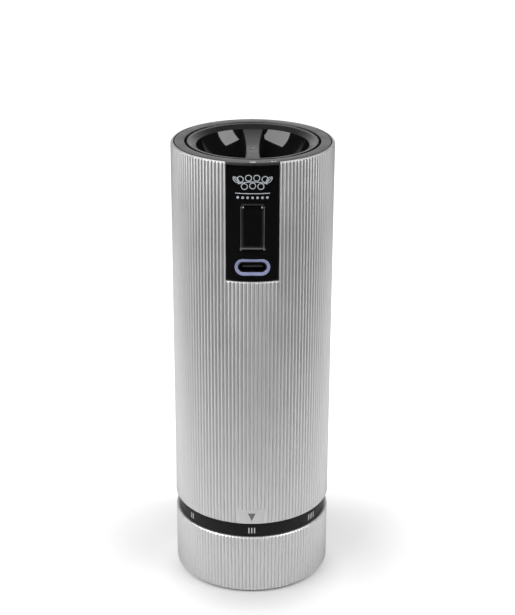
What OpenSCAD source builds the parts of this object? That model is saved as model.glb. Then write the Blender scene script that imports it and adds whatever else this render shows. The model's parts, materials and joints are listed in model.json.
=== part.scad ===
// Rechargeable pepper mill with a ribbed aluminium body.
//
// The motor block is one unit: top ring, control panel, board, cells, motor and a two-stage
// planetary gearbox. It lifts out of the body by the grip in its top, which opens the pepper tank.
// A shaft runs from the gearbox down through the tank to the burr cone. Turning the ribbed base
// raises or lowers the burr ring around the cone, and so sets the grind.
//
// Origin: centre of the underside. +Z is up, and the control panel faces -Y.

/* [Body] */
// Height from the table to the rim
mill_h = 150; // [146:1:170]
// Diameter over the ribs
mill_d = 52; // [52:0.5:56]
// Ribs around the body and the base
rib_count = 132; // [96:12:144]
// Depth of the grooves between the ribs
rib_depth = 0.4; // [0.2:0.05:0.5]
// Wall of the aluminium tubes, over the ribs
tube_wall = 1.2; // [1.1:0.05:1.3]

/* [Control panel] */
// Width of the panel, measured straight across
panel_w = 16.2; // [15:0.2:17]
// Height of the slot in the body that the panel fills
panel_h = 38.3; // [38:0.1:39]
// Width of the push button
button_w = 6.4; // [5.6:0.2:7]
// Height of the push button
button_h = 13.3; // [11:0.1:13.6]
// How far the button travels
button_travel = 0.5; // [0.3:0.1:0.5]

/* [Grip] */
// Depth of the finger hollows beside the fin
hollow_depth = 12.4; // [10:0.2:12.6]
// Thickness of the fin at its middle
fin_mid_w = 4.4; // [4:0.1:6]
// Thickness of the fin at its ends
fin_end_w = 7.2; // [6.5:0.1:9]
// How far the fin's top sinks at its middle
fin_sag = 2.2; // [1:0.1:3]
// Turn of the grip from free to locked
lock_angle = 15; // [14:1:30]

/* [Grinder] */
// Teeth on the fine part of the burr cone and the burr ring
burr_teeth = 36; // [30:2:42]
// Number of grind settings on the scale
settings = 6; // [4:1:6]
// Turn of the base from one setting to the next
setting_angle = 53; // [40:1:55]

/* [Gearbox] */
// Gear module of all the teeth
gear_mod = 0.45; // [0.43:0.01:0.46]
// Width of the gap left between meshing teeth
backlash = 0.10; // [0.08:0.01:0.12]

/* [Hidden] */
$fn = 96;

// Clearances
glue = 0.05;        // bonded or pressed together
running = 0.05;     // a shaft in its bush
slip = 0.2;         // parts that slide past each other by hand

// Radii of the shells, from the outside in
body_r = mill_d / 2;
bore_r = body_r - tube_wall;
liner_r = bore_r - glue;
liner_in_r = body_r - 2.6;
case_r = liner_in_r - slip;
case_in_r = case_r - 1.4;
rim_in_r = body_r - 4.55;
grip_r = rim_in_r - slip;

// Base and grinder, upwards from the table
base_edge_z = 0.6;
base_top_z = 21;
band_r = body_r - 1;
band_in_r = body_r - 3.4;
body_z = 26.1;
band_top_z = body_z - 0.2;
neck_r = body_r - 4.8;
neck_in_r = body_r - 7;
neck_z = 9.5;
thrust_z = 24.1;
bridge_seat_z = 25.4;
funnel_top_z = 36;
pin_z = 15.6;
pin_r = 1;
burr_bottom_z = 6;
burr_split_z = 11;
burr_top_z = 17.5;
ring_r = 17;
side_angles = [90, 210, 330];      // where things repeat three times round the axis
screw_angles = [30, 150, 270];
lug_angles = [75, 195, 315];       // clear of the control panel
coarse_rise = 0.6;                 // travel allowed to the burr carrier, each way

// Shaft
shaft_r = 2.5;
shaft_square = 3.6;
socket_square = 3.75;
bush_r = 4;

// Motor block, downwards from the rim
block_z = mill_h - 63.6;
block_floor_z = block_z + 3.6;
cover_z = mill_h - 19;
cover_top_z = cover_z + 2;
rim_z = mill_h - 2.8;
rim_r = body_r - 1.05;
tank_top_z = mill_h - 40;
collar_top_z = rim_z - 0.1;
seal_z = block_z + 1.8;
grip_bottom_z = mill_h - 15.2;
lug_z = mill_h - 9.7;
lug_h = 2;
lug_half_angle = 5;
panel_z = mill_h - panel_h + 0.2;
panel_r = body_r - 0.4;
panel_back_r = case_r + glue;
button_z = mill_h - 20.45;
port_z = mill_h - 33.5;
board_y = -(body_r - 7.1);
board_w = 14;
board_t = 1.2;
board_top_z = cover_z - 0.5;
board_bottom_z = board_top_z - 22;

// Gears
sun_teeth = 12;
planet_teeth = 15;
annulus_teeth = sun_teeth + 2 * planet_teeth;
pressure_angle = 25;
planet_orbit = gear_mod * (sun_teeth + planet_teeth) / 2;
planet_pin_r = 1;
gearbox_r = 11.2;
gearbox_floor_z = block_floor_z + 1.2;
output_disc_z = gearbox_floor_z + 0.2;
disc_t = 1.5;
disc_r = 8.6;
lower_gear_z = output_disc_z + disc_t + 0.2;
gear_h = 4;
upper_disc_z = lower_gear_z + gear_h + 0.6;
upper_gear_z = upper_disc_z + disc_t + 0.2;
gearbox_top_z = upper_gear_z + gear_h + 0.8;
cap_t = 1.4;
motor_z = gearbox_top_z + cap_t;
motor_r = 10;
motor_h = 22;
motor_shaft_r = 1;
cell_r = 5;
cell_h = 40;
cell_x = 16.4;

// ---------------------------------------------------------------- shared shapes

// A tube about Z from z0 to z1.
module tube(outer, inner, z0, z1) {
    translate([0, 0, z0])
        difference() {
            cylinder(r = outer, h = z1 - z0);
            translate([0, 0, -1])
                cylinder(r = inner, h = z1 - z0 + 2);
        }
}

// A stretch of tube, from angle a0 to a1.
module arc_block(inner, outer, a0, a1, z0, z1) {
    rotate([0, 0, a0])
        rotate_extrude(angle = a1 - a0)
            translate([inner, z0])
                square([outer - inner, z1 - z0]);
}

// Copies of the children at each angle about Z.
module around(angles) {
    for (a = angles)
        rotate([0, 0, a])
            children();
}

// A rectangle w by h with round corners, standing in the XZ plane and reaching from y0 to y1.
module rounded_bar(w, h, corner, y0, y1) {
    translate([0, y1, 0])
        rotate([90, 0, 0])
            linear_extrude(y1 - y0)
                union() {
                    square([w - 2 * corner, h], center = true);
                    square([w, h - 2 * corner], center = true);
                    for (x = [-1, 1], y = [-1, 1])
                        translate([x * (w / 2 - corner), y * (h / 2 - corner)])
                            circle(r = corner, $fn = 32);
                }
}

// The outline of a ribbed tube: a crest, a root and two points on the rib's side for each rib.
function rib_outline(outer, depth) = [
    for (i = [0 : 4 * rib_count - 1])
        let (drop = [0, 0.3, 1, 0.3][i % 4], r = outer - depth * drop, a = i * 90 / rib_count)
            [r * cos(a), r * sin(a)]
];

module ribbed_tube(z0, z1) {
    difference() {
        translate([0, 0, z0])
            linear_extrude(z1 - z0)
                polygon(rib_outline(body_r, rib_depth));
        translate([0, 0, z0 - 1])
            cylinder(r = bore_r, h = z1 - z0 + 2);
    }
}

// Involute gears. A tooth is centred on +X. half_width is the angle from its centre to its flank.
function involute(a) = tan(a) * 180 / PI - a;
function flank_angle(teeth, r, gap) =
    let (pitch_r = gear_mod * teeth / 2, base_r = pitch_r * cos(pressure_angle))
        90 / teeth + involute(pressure_angle) - involute(acos(min(1, base_r / r)))
        - gap / 4 / pitch_r * 180 / PI;
function flank_point(teeth, r, at_r, mid, side, gap) =
    let (a = mid + side * flank_angle(teeth, r, gap))
        at_r * [cos(a), sin(a)];
function gear_outline(teeth, root_r, tip_r, gap, steps = 4) =
    let (start_r = max(root_r, gear_mod * teeth / 2 * cos(pressure_angle)),
         radii = [for (i = [0 : steps]) start_r + (tip_r - start_r) * i / steps])
    [for (t = [0 : teeth - 1])
        let (mid = t * 360 / teeth)
        each concat(
            [flank_point(teeth, start_r, root_r, mid, -1, gap)],
            [for (r = radii) flank_point(teeth, r, r, mid, -1, gap)],
            [for (i = [steps : -1 : 0]) flank_point(teeth, radii[i], radii[i], mid, 1, gap)],
            [flank_point(teeth, start_r, root_r, mid, 1, gap)]
        )];

module outer_gear(teeth, h) {
    pitch_r = gear_mod * teeth / 2;
    linear_extrude(h)
        polygon(gear_outline(teeth, pitch_r - 1.2 * gear_mod, pitch_r + 0.9 * gear_mod, backlash));
}

// The space inside an internal gear.
module inner_gear_space(teeth, h) {
    pitch_r = gear_mod * teeth / 2;
    linear_extrude(h)
        polygon(gear_outline(teeth, pitch_r - 0.9 * gear_mod, pitch_r + 1.2 * gear_mod, -backlash));
}

// A tube swept along a list of points, for wires and the coil spring.
function unit(v) = v / norm(v);
function tangent(p, i) = unit(p[min(i + 1, len(p) - 1)] - p[max(i - 1, 0)]);
function sweep_ring(p, i, r, sides, ref) =
    let (t = tangent(p, i), u = unit(cross(t, ref)), v = cross(t, u))
        [for (k = [0 : sides - 1]) p[i] + r * (cos(k * 360 / sides) * u + sin(k * 360 / sides) * v)];
module sweep(p, r, sides, refs) {
    n = len(p);
    points = [for (i = [0 : n - 1]) each sweep_ring(p, i, r, sides, refs[min(i, len(refs) - 1)])];
    quads = [for (i = [0 : n - 2], k = [0 : sides - 1])
        let (a = i * sides + k, b = i * sides + (k + 1) % sides)
            [a, b, b + sides, a + sides]];
    polyhedron(points, concat(
        [[for (k = [sides - 1 : -1 : 0]) k]],
        quads,
        [[for (k = [0 : sides - 1]) (n - 1) * sides + k]]
    ));
}

// A cheese-head screw along +Z, its head from z = 0 up and its shank down from there.
module screw(head_r, head_h, shank_r, shank_h) {
    difference() {
        union() {
            cylinder(r = head_r, h = head_h, $fn = 32);
            translate([0, 0, -shank_h])
                cylinder(r = shank_r, h = shank_h + head_h / 2, $fn = 32);
        }
        for (a = [0, 90])
            rotate([0, 0, a])
                translate([-head_r * 0.6, -0.2, head_h * 0.5])
                    cube([head_r * 1.2, 0.4, head_h]);
    }
}

// ---------------------------------------------------------------- body

// Extruded tube, with an open-topped slot for the panel, a smooth patch for the pointer and a
// shallow recess in its mouth for the rim of the motor block.
patch_w = 8.7;
patch_h = 5.3;
slot_play = 0.15;
module body_sleeve() {
    color("silver")
        difference() {
            ribbed_tube(body_z, mill_h);
            translate([0, 0, rim_z])
                cylinder(r = rim_r + 0.15, h = 10);
            translate([-panel_w / 2 - slot_play, -body_r - 1, mill_h - panel_h])
                cube([panel_w + 2 * slot_play, body_r, panel_h + 1]);
            intersection() {
                tube(body_r + 1, body_r - rib_depth, body_z - 1, body_z + patch_h);
                translate([-patch_w / 2, -body_r - 1, body_z - 1])
                    cube([patch_w, body_r, patch_h + 2]);
            }
        }
}

// The triangle printed on the smooth patch, pointing down at the scale.
module pointer_mark() {
    color("dimgray")
        intersection() {
            tube(body_r - rib_depth + 0.06, body_r - rib_depth, body_z, body_z + patch_h);
            translate([0, 0, body_z + 1.1])
                rotate([90, 0, 0])
                    linear_extrude(body_r + 1)
                        polygon([[0, 0], [1.25, 2.8], [-1.25, 2.8]]);
        }
}

// Plastic ring bonded in the top of the body. Its slots are the bayonet for the grip's lugs, and
// its front is open for the back of the panel.
module lock_collar() {
    lug_room = lug_half_angle + 2;
    color("dimgray")
        difference() {
            tube(liner_r, liner_in_r, tank_top_z + 0.1, collar_top_z);
            translate([-panel_w / 2 - 1, -body_r, tank_top_z])
                cube([panel_w + 2, body_r - 10, mill_h]);
            around(lug_angles) {
                arc_block(liner_in_r - 1, liner_r + 1, -lug_room, lug_room, lug_z - 0.7, mill_h);
                arc_block(liner_in_r - 1, liner_r + 1, -lug_room, lock_angle + lug_room,
                          lug_z - 0.7, lug_z + lug_h + 0.7);
            }
        }
}

// Tube that holds the peppercorns, on the funnel of the grinder housing.
module pepper_tank() {
    color("gainsboro")
        tube(liner_r, liner_in_r, funnel_top_z, tank_top_z);
}

// Funnel and neck, bonded into the foot of the body. The base turns on the neck.
module grinder_housing() {
    color([0.12, 0.12, 0.12])
        difference() {
            rotate_extrude()
                polygon([
                    [neck_in_r, neck_z], [neck_r, neck_z], [neck_r, thrust_z],
                    [band_in_r - 0.1, thrust_z], [band_in_r - 0.1, body_z + 0.1],
                    [liner_r, body_z + 0.1], [liner_r, funnel_top_z],
                    [liner_in_r - 0.4, funnel_top_z], [neck_in_r - 1.4, bridge_seat_z],
                    [neck_in_r, bridge_seat_z]
                ]);
            around(side_angles)
                translate([neck_in_r - 1, -pin_r - 0.15, pin_z - pin_r - coarse_rise - 0.2])
                    cube([4, 2 * pin_r + 0.3, 2 * (pin_r + coarse_rise + 0.2)]);
            around(screw_angles)
                translate([(neck_r + neck_in_r) / 2, 0, neck_z - 1])
                    cylinder(r = 0.62, h = 6, $fn = 32);
            // pocket for the detent spring
            rotate([0, 0, 60])
                translate([neck_in_r + 1, -4, 19])
                    cube([3, 8, 3.4]);
        }
}

// Spider that carries the bush. Peppercorns fall between its three arms.
module bearing_bridge() {
    color("dimgray")
        difference() {
            union() {
                tube(neck_in_r - glue, neck_in_r - 1.6, bridge_seat_z - 3.2, bridge_seat_z);
                translate([0, 0, bridge_seat_z - 3.2])
                    cylinder(r = bush_r + 1.8, h = 3.2);
                around(screw_angles)
                    translate([0, -1.3, bridge_seat_z - 3.2])
                        cube([neck_in_r - 1, 2.6, 3.2]);
            }
            translate([0, 0, bridge_seat_z - 4])
                cylinder(r = bush_r, h = 6);
        }
}

// Sintered bush for the drive shaft, with a flange that rests on the bridge.
module shaft_bush() {
    color("goldenrod")
        difference() {
            union() {
                translate([0, 0, bridge_seat_z - 3.5])
                    cylinder(r = bush_r - 0.01, h = 3.5);
                translate([0, 0, bridge_seat_z])
                    cylinder(r = bush_r + 1, h = 0.8);
            }
            translate([0, 0, bridge_seat_z - 5])
                cylinder(r = shaft_r + running, h = 8);
        }
}

// Ring under the neck that keeps the base on.
module base_retainer() {
    color("dimgray")
        difference() {
            tube(body_r - 3.1, neck_in_r, neck_z - 2.1, neck_z - 0.02);
            around(screw_angles)
                translate([(neck_r + neck_in_r) / 2, 0, neck_z - 3])
                    cylinder(r = 0.75, h = 4, $fn = 32);
        }
}

module retainer_screws() {
    color("silver")
        around(screw_angles)
            translate([(neck_r + neck_in_r) / 2, 0, neck_z - 2.1])
                mirror([0, 0, 1])
                    screw(1.05, 0.9, 0.6, 6);
}

// Bent leaf in the neck whose nose clicks into the notches of the base.
module detent_spring() {
    color("silver")
        rotate([0, 0, 60])
            translate([0, 0, 19.2])
                linear_extrude(3)
                    polygon([
                        [neck_r - 1.1, -3.8], [neck_r - 1.1, -1.4], [neck_r + 0.45, -0.3],
                        [neck_r + 0.45, 0.3], [neck_r - 1.1, 1.4], [neck_r - 1.1, 3.8],
                        [neck_r - 0.8, 3.8], [neck_r - 0.8, 1.6], [neck_r + 0.75, 0.45],
                        [neck_r + 0.75, -0.45], [neck_r - 0.8, -1.6], [neck_r - 0.8, -3.8]
                    ]);
}

// ---------------------------------------------------------------- base, which sets the grind

module base_sleeve() {
    color("silver")
        ribbed_tube(base_edge_z, base_top_z);
}

// Moulded body of the base. It turns on the neck. The pins of the burr carrier run in its groove,
// and its notches hold each setting.
module base_core() {
    turn_r = neck_r + 0.1;
    groove_half = pin_r + coarse_rise + 0.05;
    wide_r = body_r - 2.8;
    color([0.12, 0.12, 0.12])
        difference() {
            rotate_extrude()
                polygon([
                    [wide_r, 1.5], [liner_r, 1.5], [liner_r, base_top_z],
                    [band_in_r - glue, base_top_z], [band_in_r - glue, thrust_z - 0.05],
                    [turn_r, thrust_z - 0.05], [turn_r, pin_z + groove_half],
                    [wide_r - 0.2, pin_z + groove_half], [wide_r - 0.2, pin_z - groove_half],
                    [turn_r, pin_z - groove_half], [turn_r, neck_z + 0.1],
                    [wide_r, neck_z + 0.1]
                ]);
            for (k = [0 : settings - 1])
                rotate([0, 0, 60 + (k - 2) * setting_angle])
                    translate([turn_r - 0.2, 0, 18.9])
                        cylinder(r = 1.1, h = 3.6, $fn = 32);
        }
}

// Black band with the grind scale.
module index_ring() {
    color([0.1, 0.1, 0.1])
        tube(band_r, band_in_r, base_top_z + 0.05, band_top_z);
}

// The scale: one to six strokes, the third setting under the pointer.
module grind_marks() {
    stroke_angle = 0.8;
    stroke_pitch = 2.15;
    color("white")
        for (k = [1 : settings], i = [0 : k - 1])
            rotate([0, 0, -90 + (k - 3) * setting_angle + (i - (k - 1) / 2) * stroke_pitch])
                arc_block(band_r, band_r + 0.06, -stroke_angle / 2, stroke_angle / 2, 22.2, 24.3);
}

// Soft ring that plugs into the base and stands on the table.
module foot_ring() {
    color([0.15, 0.15, 0.15])
        rotate_extrude()
            polygon([
                [body_r - 6.4, 0.4], [body_r - 6, 0], [body_r - 1.9, 0], [body_r - 1.5, 0.4],
                [body_r - 1.5, 1.45], [body_r - 2.85, 1.45], [body_r - 2.85, 4.5],
                [body_r - 4.1, 4.5], [body_r - 4.1, 1.5], [body_r - 6.4, 1.5]
            ]);
}

// ---------------------------------------------------------------- grinder

// Star outline for the burrs: teeth between root_r and tip_r.
function star(teeth, root_r, tip_r) = [
    for (i = [0 : 4 * teeth - 1])
        let (r = [tip_r, tip_r, root_r, root_r][i % 4], a = (i + [0, -0.3, 0, 0.3][i % 4]) * 90 / teeth)
            [r * cos(a), r * sin(a)]
];

cone_bottom_r = 15.1;
cone_split_r = 13.5;
burr_gap = 0.4;
tooth_depth = 0.7;
taper = cone_split_r / cone_bottom_r;

// Steel cone: fine straight teeth below, coarse winding flutes above that draw the corns in.
module burr_cone() {
    fine_h = burr_split_z - burr_bottom_z;
    color("gray")
        difference() {
            union() {
                translate([0, 0, burr_bottom_z])
                    linear_extrude(fine_h, scale = taper)
                        polygon(star(burr_teeth, cone_bottom_r - tooth_depth, cone_bottom_r));
                translate([0, 0, burr_split_z])
                    linear_extrude(burr_top_z - burr_split_z, twist = 50, scale = 0.55, slices = 8)
                        polygon(star(7, cone_split_r - 3.2, cone_split_r - 0.8));
            }
            translate([-shaft_square / 2, -shaft_square / 2, burr_bottom_z - 1])
                cube([shaft_square, shaft_square, burr_top_z - burr_bottom_z + 2]);
        }
}

// Steel ring around the cone, toothed inside.
module burr_ring() {
    fine_h = burr_split_z - burr_bottom_z - 1.4;
    open_r = cone_bottom_r + burr_gap;
    color("gray")
        difference() {
            tube(ring_r, 5, burr_bottom_z + 1.4, burr_top_z);
            translate([0, 0, burr_bottom_z])
                linear_extrude(burr_split_z - burr_bottom_z, scale = taper)
                    polygon(star(burr_teeth, open_r, open_r + tooth_depth));
            translate([0, 0, burr_split_z - 0.01])
                linear_extrude(burr_top_z - burr_split_z + 0.02, scale = 1.12)
                    polygon(star(12, open_r * taper, open_r * taper + 0.9));
        }
}

// Moulded sleeve that holds the burr ring and slides up and down in the neck.
module burr_carrier() {
    slide_r = neck_in_r - 0.15;
    color([0.16, 0.16, 0.16])
        difference() {
            union() {
                tube(slide_r, ring_r + glue, burr_bottom_z + 0.2, burr_top_z + 2);
                tube(slide_r, ring_r - 0.7, burr_bottom_z + 0.2, burr_bottom_z + 1.35);
            }
            around(side_angles)
                translate([ring_r - 1, 0, pin_z])
                    rotate([0, 90, 0])
                        cylinder(r = pin_r, h = 4, $fn = 32);
        }
}

// Steel pins, pressed into the carrier through the slots of the neck.
module carrier_pins() {
    color("silver")
        around(side_angles)
            translate([ring_r + 0.3, 0, pin_z])
                rotate([0, 90, 0])
                    cylinder(r = pin_r - 0.01, h = body_r - 3.4 - ring_r - 0.3, $fn = 32);
}

// Steel shaft, square where it drives the cone and where it enters the gearbox socket.
module drive_shaft() {
    square_top_z = block_z + 3;
    color("lightgray")
        union() {
            translate([0, 0, burr_top_z + 0.02])
                cylinder(r = shaft_r, h = block_z - 6 - burr_top_z - 0.02);
            for (z = [[burr_bottom_z + 0.3, burr_top_z + 0.5], [block_z - 6.5, square_top_z]])
                translate([-shaft_square / 2 + 0.05, -shaft_square / 2 + 0.05, z[0]])
                    cube([shaft_square - 0.1, shaft_square - 0.1, z[1] - z[0]]);
            translate([0, 0, burr_bottom_z - 3.8])
                cylinder(r = 1.5, h = 5, $fn = 32);
        }
}

// Clip in the shaft above the bush, which takes the pull of the spring.
module shaft_clip() {
    color("dimgray")
        difference() {
            tube(shaft_r + 1.6, shaft_r + 0.01, bridge_seat_z + 0.85, bridge_seat_z + 1.55);
            translate([0, -1.2, bridge_seat_z])
                cube([10, 2.4, 3]);
        }
}

// Coil spring between the bush and the cone, which holds the cone down.
spring_turns = 2.6;
spring_r = 3.4;
spring_wire_r = 0.35;
module burr_spring() {
    steps = 20;
    bottom_z = burr_top_z + spring_wire_r + 0.05;
    top_z = bridge_seat_z - 3.55 - spring_wire_r;
    n = spring_turns * steps;
    path = [for (i = [0 : n])
        [spring_r * cos(i * 360 / steps), spring_r * sin(i * 360 / steps),
         bottom_z + (top_z - bottom_z) * i / n]];
    color("silver")
        sweep(path, spring_wire_r, 8, [[0, 0, 1]]);
}

// Flanged nut under the cone.
module burr_nut() {
    color("silver")
        difference() {
            union() {
                translate([0, 0, burr_bottom_z - 3.2])
                    cylinder(r = 3.1, h = 2.6, $fn = 6);
                translate([0, 0, burr_bottom_z - 0.82])
                    cylinder(r = 4.6, h = 0.8);
            }
            translate([0, 0, burr_bottom_z - 5])
                cylinder(r = 1.52, h = 6, $fn = 32);
        }
}

// ---------------------------------------------------------------- motor block: shells

boss_angles = [90, 225, 315];
boss_at = 19;
ear_at = 13.4;
post_r = 2.2;

// A round post at distance at from the axis, with a web that reaches from it to the radius web_to.
module post(at, web_to, h) {
    translate([at, 0, 0])
        cylinder(r = post_r, h = h, $fn = 32);
    translate([min(at, web_to), -post_r, 0])
        cube([abs(web_to - at), 2 * post_r, h]);
}

// Cup that holds the works. Its floor plugs the tank, and its front is cut away for the board.
module motor_block_case() {
    color([0.13, 0.13, 0.13])
        difference() {
            union() {
                difference() {
                    translate([0, 0, block_z])
                        cylinder(r = case_r, h = cover_top_z - block_z);
                    translate([0, 0, block_floor_z])
                        cylinder(r = case_in_r, h = cover_top_z);
                }
                translate([0, 0, cover_z - 11])
                    around(boss_angles)
                        post(boss_at, case_in_r + 0.3, 11);
                // rails that hold the edges of the board
                for (s = [-1, 1])
                    translate([s * (board_w / 2 + 0.3) - 0.9, board_y - 1, block_floor_z - 0.5])
                        cube([1.8, board_t + 2, board_top_z - block_floor_z + 0.5]);
            }
            translate([-board_w / 2 - 0.1, board_y - 0.05, board_bottom_z - 0.1])
                cube([board_w + 0.2, board_t + 0.1, 30]);
            // groove of the seal ring
            translate([0, 0, seal_z - 0.9])
                difference() {
                    cylinder(r = case_r + 1, h = 1.8);
                    translate([0, 0, -1])
                        cylinder(r = case_r - 1.65, h = 4);
                }
            // hole for the hub of the gearbox, and the screws of its ears
            translate([0, 0, block_z - 1])
                cylinder(r = 5, h = 6);
            around(side_angles)
                translate([ear_at, 0, block_z - 1]) {
                    cylinder(r = 1, h = 6, $fn = 32);
                    cylinder(r = 1.9, h = 2.2, $fn = 32);
                }
            around(boss_angles)
                translate([boss_at, 0, cover_z - 9])
                    cylinder(r = 0.98, h = 12, $fn = 32);
            // windows for the port and the button
            translate([-6, -body_r, port_z - 3.2])
                cube([12, body_r - 15, cover_z - port_z + 2]);
            translate([-button_w / 2 - 0.8, -body_r, button_z - button_h / 2 - 1])
                cube([button_w + 1.6, body_r - 15, button_h + 2]);
        }
}

// Rubber ring that keeps the tank closed.
module seal_ring() {
    color([0.08, 0.08, 0.08])
        translate([0, 0, seal_z])
            rotate_extrude()
                translate([case_r - 0.75, 0])
                    circle(r = 0.85, $fn = 32);
}

// Plate over the motor, cells and board.
module inner_cover() {
    color([0.2, 0.2, 0.2])
        difference() {
            translate([0, 0, cover_z])
                cylinder(r = case_in_r - glue, h = 2);
            around(boss_angles)
                translate([boss_at, 0, cover_z - 1])
                    cylinder(r = 1.1, h = 4, $fn = 32);
        }
}

module cover_screws() {
    color("silver")
        around(boss_angles)
            translate([boss_at, 0, cover_top_z])
                screw(1.8, 0.7, 0.95, 8);
}

// The wide black rim, with the skirt that the grip turns in.
module top_ring() {
    window = lug_half_angle + 1.5;
    color([0.25, 0.25, 0.25])
        difference() {
            union() {
                tube(case_r, rim_in_r, cover_top_z + 0.05, mill_h);
                tube(rim_r, rim_in_r, rim_z, mill_h);
                intersection() {
                    tube(body_r - 0.1, rim_in_r + 1, mill_h - 0.75, mill_h);
                    translate([-panel_w / 2, -body_r - 1, mill_h - 1])
                        cube([panel_w, body_r, 2]);
                }
            }
            around(lug_angles)
                arc_block(rim_in_r - 1, case_r + 0.5, -window, lock_angle + window,
                          lug_z - 0.4, lug_z + lug_h + 0.4);
            translate([-button_w / 2 - 0.8, -body_r, cover_top_z - 1])
                cube([button_w + 1.6, body_r - 18, button_z + button_h / 2 + 2 - cover_top_z]);
        }
}

// Two printed marks on the rim: a bar where the grip is free, and two dots where it is locked.
module ring_marks() {
    mark_r = body_r - 1.4;
    mark_h = 0.04;
    color("white")
        translate([0, 0, mill_h]) {
            rotate([0, 0, -90])
                arc_block(mark_r - 0.35, mark_r + 0.35, -2, 2, 0, mark_h);
            for (a = [-1.2, 1.2])
                rotate([0, 0, -90 + lock_angle + a])
                    translate([mark_r, 0, 0])
                        cylinder(r = 0.3, h = mark_h, $fn = 32);
        }
}

// ---------------------------------------------------------------- motor block: control panel

// What lies in the slot of the body: a curved stretch of tube as wide as the panel.
module panel_stretch(back_r, face_r, z0, z1, w = panel_w) {
    intersection() {
        tube(face_r, back_r, z0, z1);
        translate([-w / 2, -body_r - 1, z0 - 1])
            cube([w, body_r, z1 - z0 + 2]);
    }
}

module control_panel() {
    color([0.02, 0.02, 0.02])
        difference() {
            union() {
                panel_stretch(panel_back_r, panel_r, panel_z, rim_z - 0.05);
                panel_stretch(body_r - 1, panel_r, rim_z - 0.1, mill_h - 0.8);
            }
            translate([0, 0, button_z]) {
                rounded_bar(button_w + 0.3, button_h + 0.3, 0.7, -body_r - 1, -15);
                rounded_bar(button_w + 1.5, button_h + 1.5, 0.9, -body_r + 1.7, -15);
            }
            translate([0, 0, port_z])
                rounded_bar(11.1, 5.55, 2.75, -body_r - 1, -15);
        }
}

// Generic printed sign: a sprig of pepper with two leaves, over a rule and a row of dots.
sign_line = 0.26;
module leaf_outline(length, width) {
    side_r = (length * length + width * width) / (4 * width);
    difference() {
        lens(side_r, side_r - width / 2);
        lens(side_r - sign_line, side_r - width / 2);
    }
    square([length * 0.6, sign_line], center = true);
}
// Where two circles overlap whose centres lie above and below the origin.
module lens(r, centre_y) {
    intersection() {
        translate([0, centre_y])
            circle(r);
        translate([0, -centre_y])
            circle(r);
    }
}
module pepper_sprig() {
    stem_r = 14;
    corn_r = 1.05;
    for (i = [-3 : 3])
        let (x = i * 1.25, side = i % 2 == 0 ? -1 : 1)
            translate([x, sqrt(stem_r * stem_r - x * x) - stem_r + side * (corn_r + 0.2)])
                difference() {
                    circle(corn_r);
                    circle(corn_r - sign_line);
                }
    intersection() {
        translate([0, -stem_r])
            difference() {
                circle(stem_r + sign_line / 2);
                circle(stem_r - sign_line / 2);
            }
        square([9, 6], center = true);
    }
    for (s = [-1, 1])
        translate([s * 5, 0.5])
            rotate(s * 45)
                leaf_outline(2.8, 1.5);
}
module panel_emblem() {
    sprig_z = mill_h - 5.9;
    color("white")
        intersection() {
            tube(panel_r + 0.05, panel_r, mill_h - 13, mill_h - 1);
            rotate([90, 0, 0])
                linear_extrude(body_r + 1)
                    translate([0, sprig_z]) {
                        pepper_sprig();
                        translate([0, -3.7])
                            square([10.6, sign_line], center = true);
                        for (i = [-3 : 3])
                            translate([i * 1.5, -5])
                                circle(0.4);
                    }
        }
}

// Light guide around the charging port.
module charge_light_ring() {
    color([0.8, 0.82, 0.95])
        difference() {
            intersection() {
                tube(panel_r, panel_back_r - 0.4, port_z - 4, port_z + 4);
                translate([0, 0, port_z])
                    rounded_bar(11.05, 5.5, 2.74, -body_r, -15);
            }
            translate([0, 0, port_z])
                rounded_bar(9.1, 3.45, 1.72, -body_r - 1, -15);
        }
}

module circuit_board() {
    color("darkgreen")
        translate([-board_w / 2, board_y, board_bottom_z])
            cube([board_w, board_t, board_top_z - board_bottom_z]);
}

// Charger and motor driver on the back of the board.
module board_chips() {
    color([0.1, 0.1, 0.1])
        for (c = [[-3.7, 4, 5, 5], [3, 5.5, 4, 3], [2, 13, 6, 4], [-4.5, 14.5, 3, 3]])
            translate([c[0] - c[2] / 2, board_y + board_t, board_bottom_z + c[1] - c[3] / 2])
                cube([c[2], 1, c[3]]);
}

// Tact switch on the front of the board, with the hole that its plunger moves in.
switch_z = button_z - 1.8;
module button_switch() {
    color([0.3, 0.3, 0.32])
        difference() {
            translate([-2.1, board_y - 3, switch_z - 2.1])
                cube([4.2, 3, 4.2]);
            translate([0, board_y - 1.4, switch_z])
                rotate([90, 0, 0])
                    cylinder(r = 1.15, h = 3, $fn = 32);
        }
}

// Shell and contact tongue of the charging port, to the usual sizes of its kind.
port_mouth_y = -(body_r - 0.9);
module charge_port_shell() {
    color("silver")
        translate([0, 0, port_z])
            difference() {
                rounded_bar(8.94, 3.26, 1.62, port_mouth_y, board_y);
                rounded_bar(8.34, 2.56, 1.27, port_mouth_y - 1, board_y - 0.4);
            }
}

module charge_port_tongue() {
    color([0.08, 0.08, 0.08])
        translate([0, 0, port_z])
            rounded_bar(6.7, 0.7, 0.3, port_mouth_y + 0.9, board_y - 0.4);
}

// ---------------------------------------------------------------- push button

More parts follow.
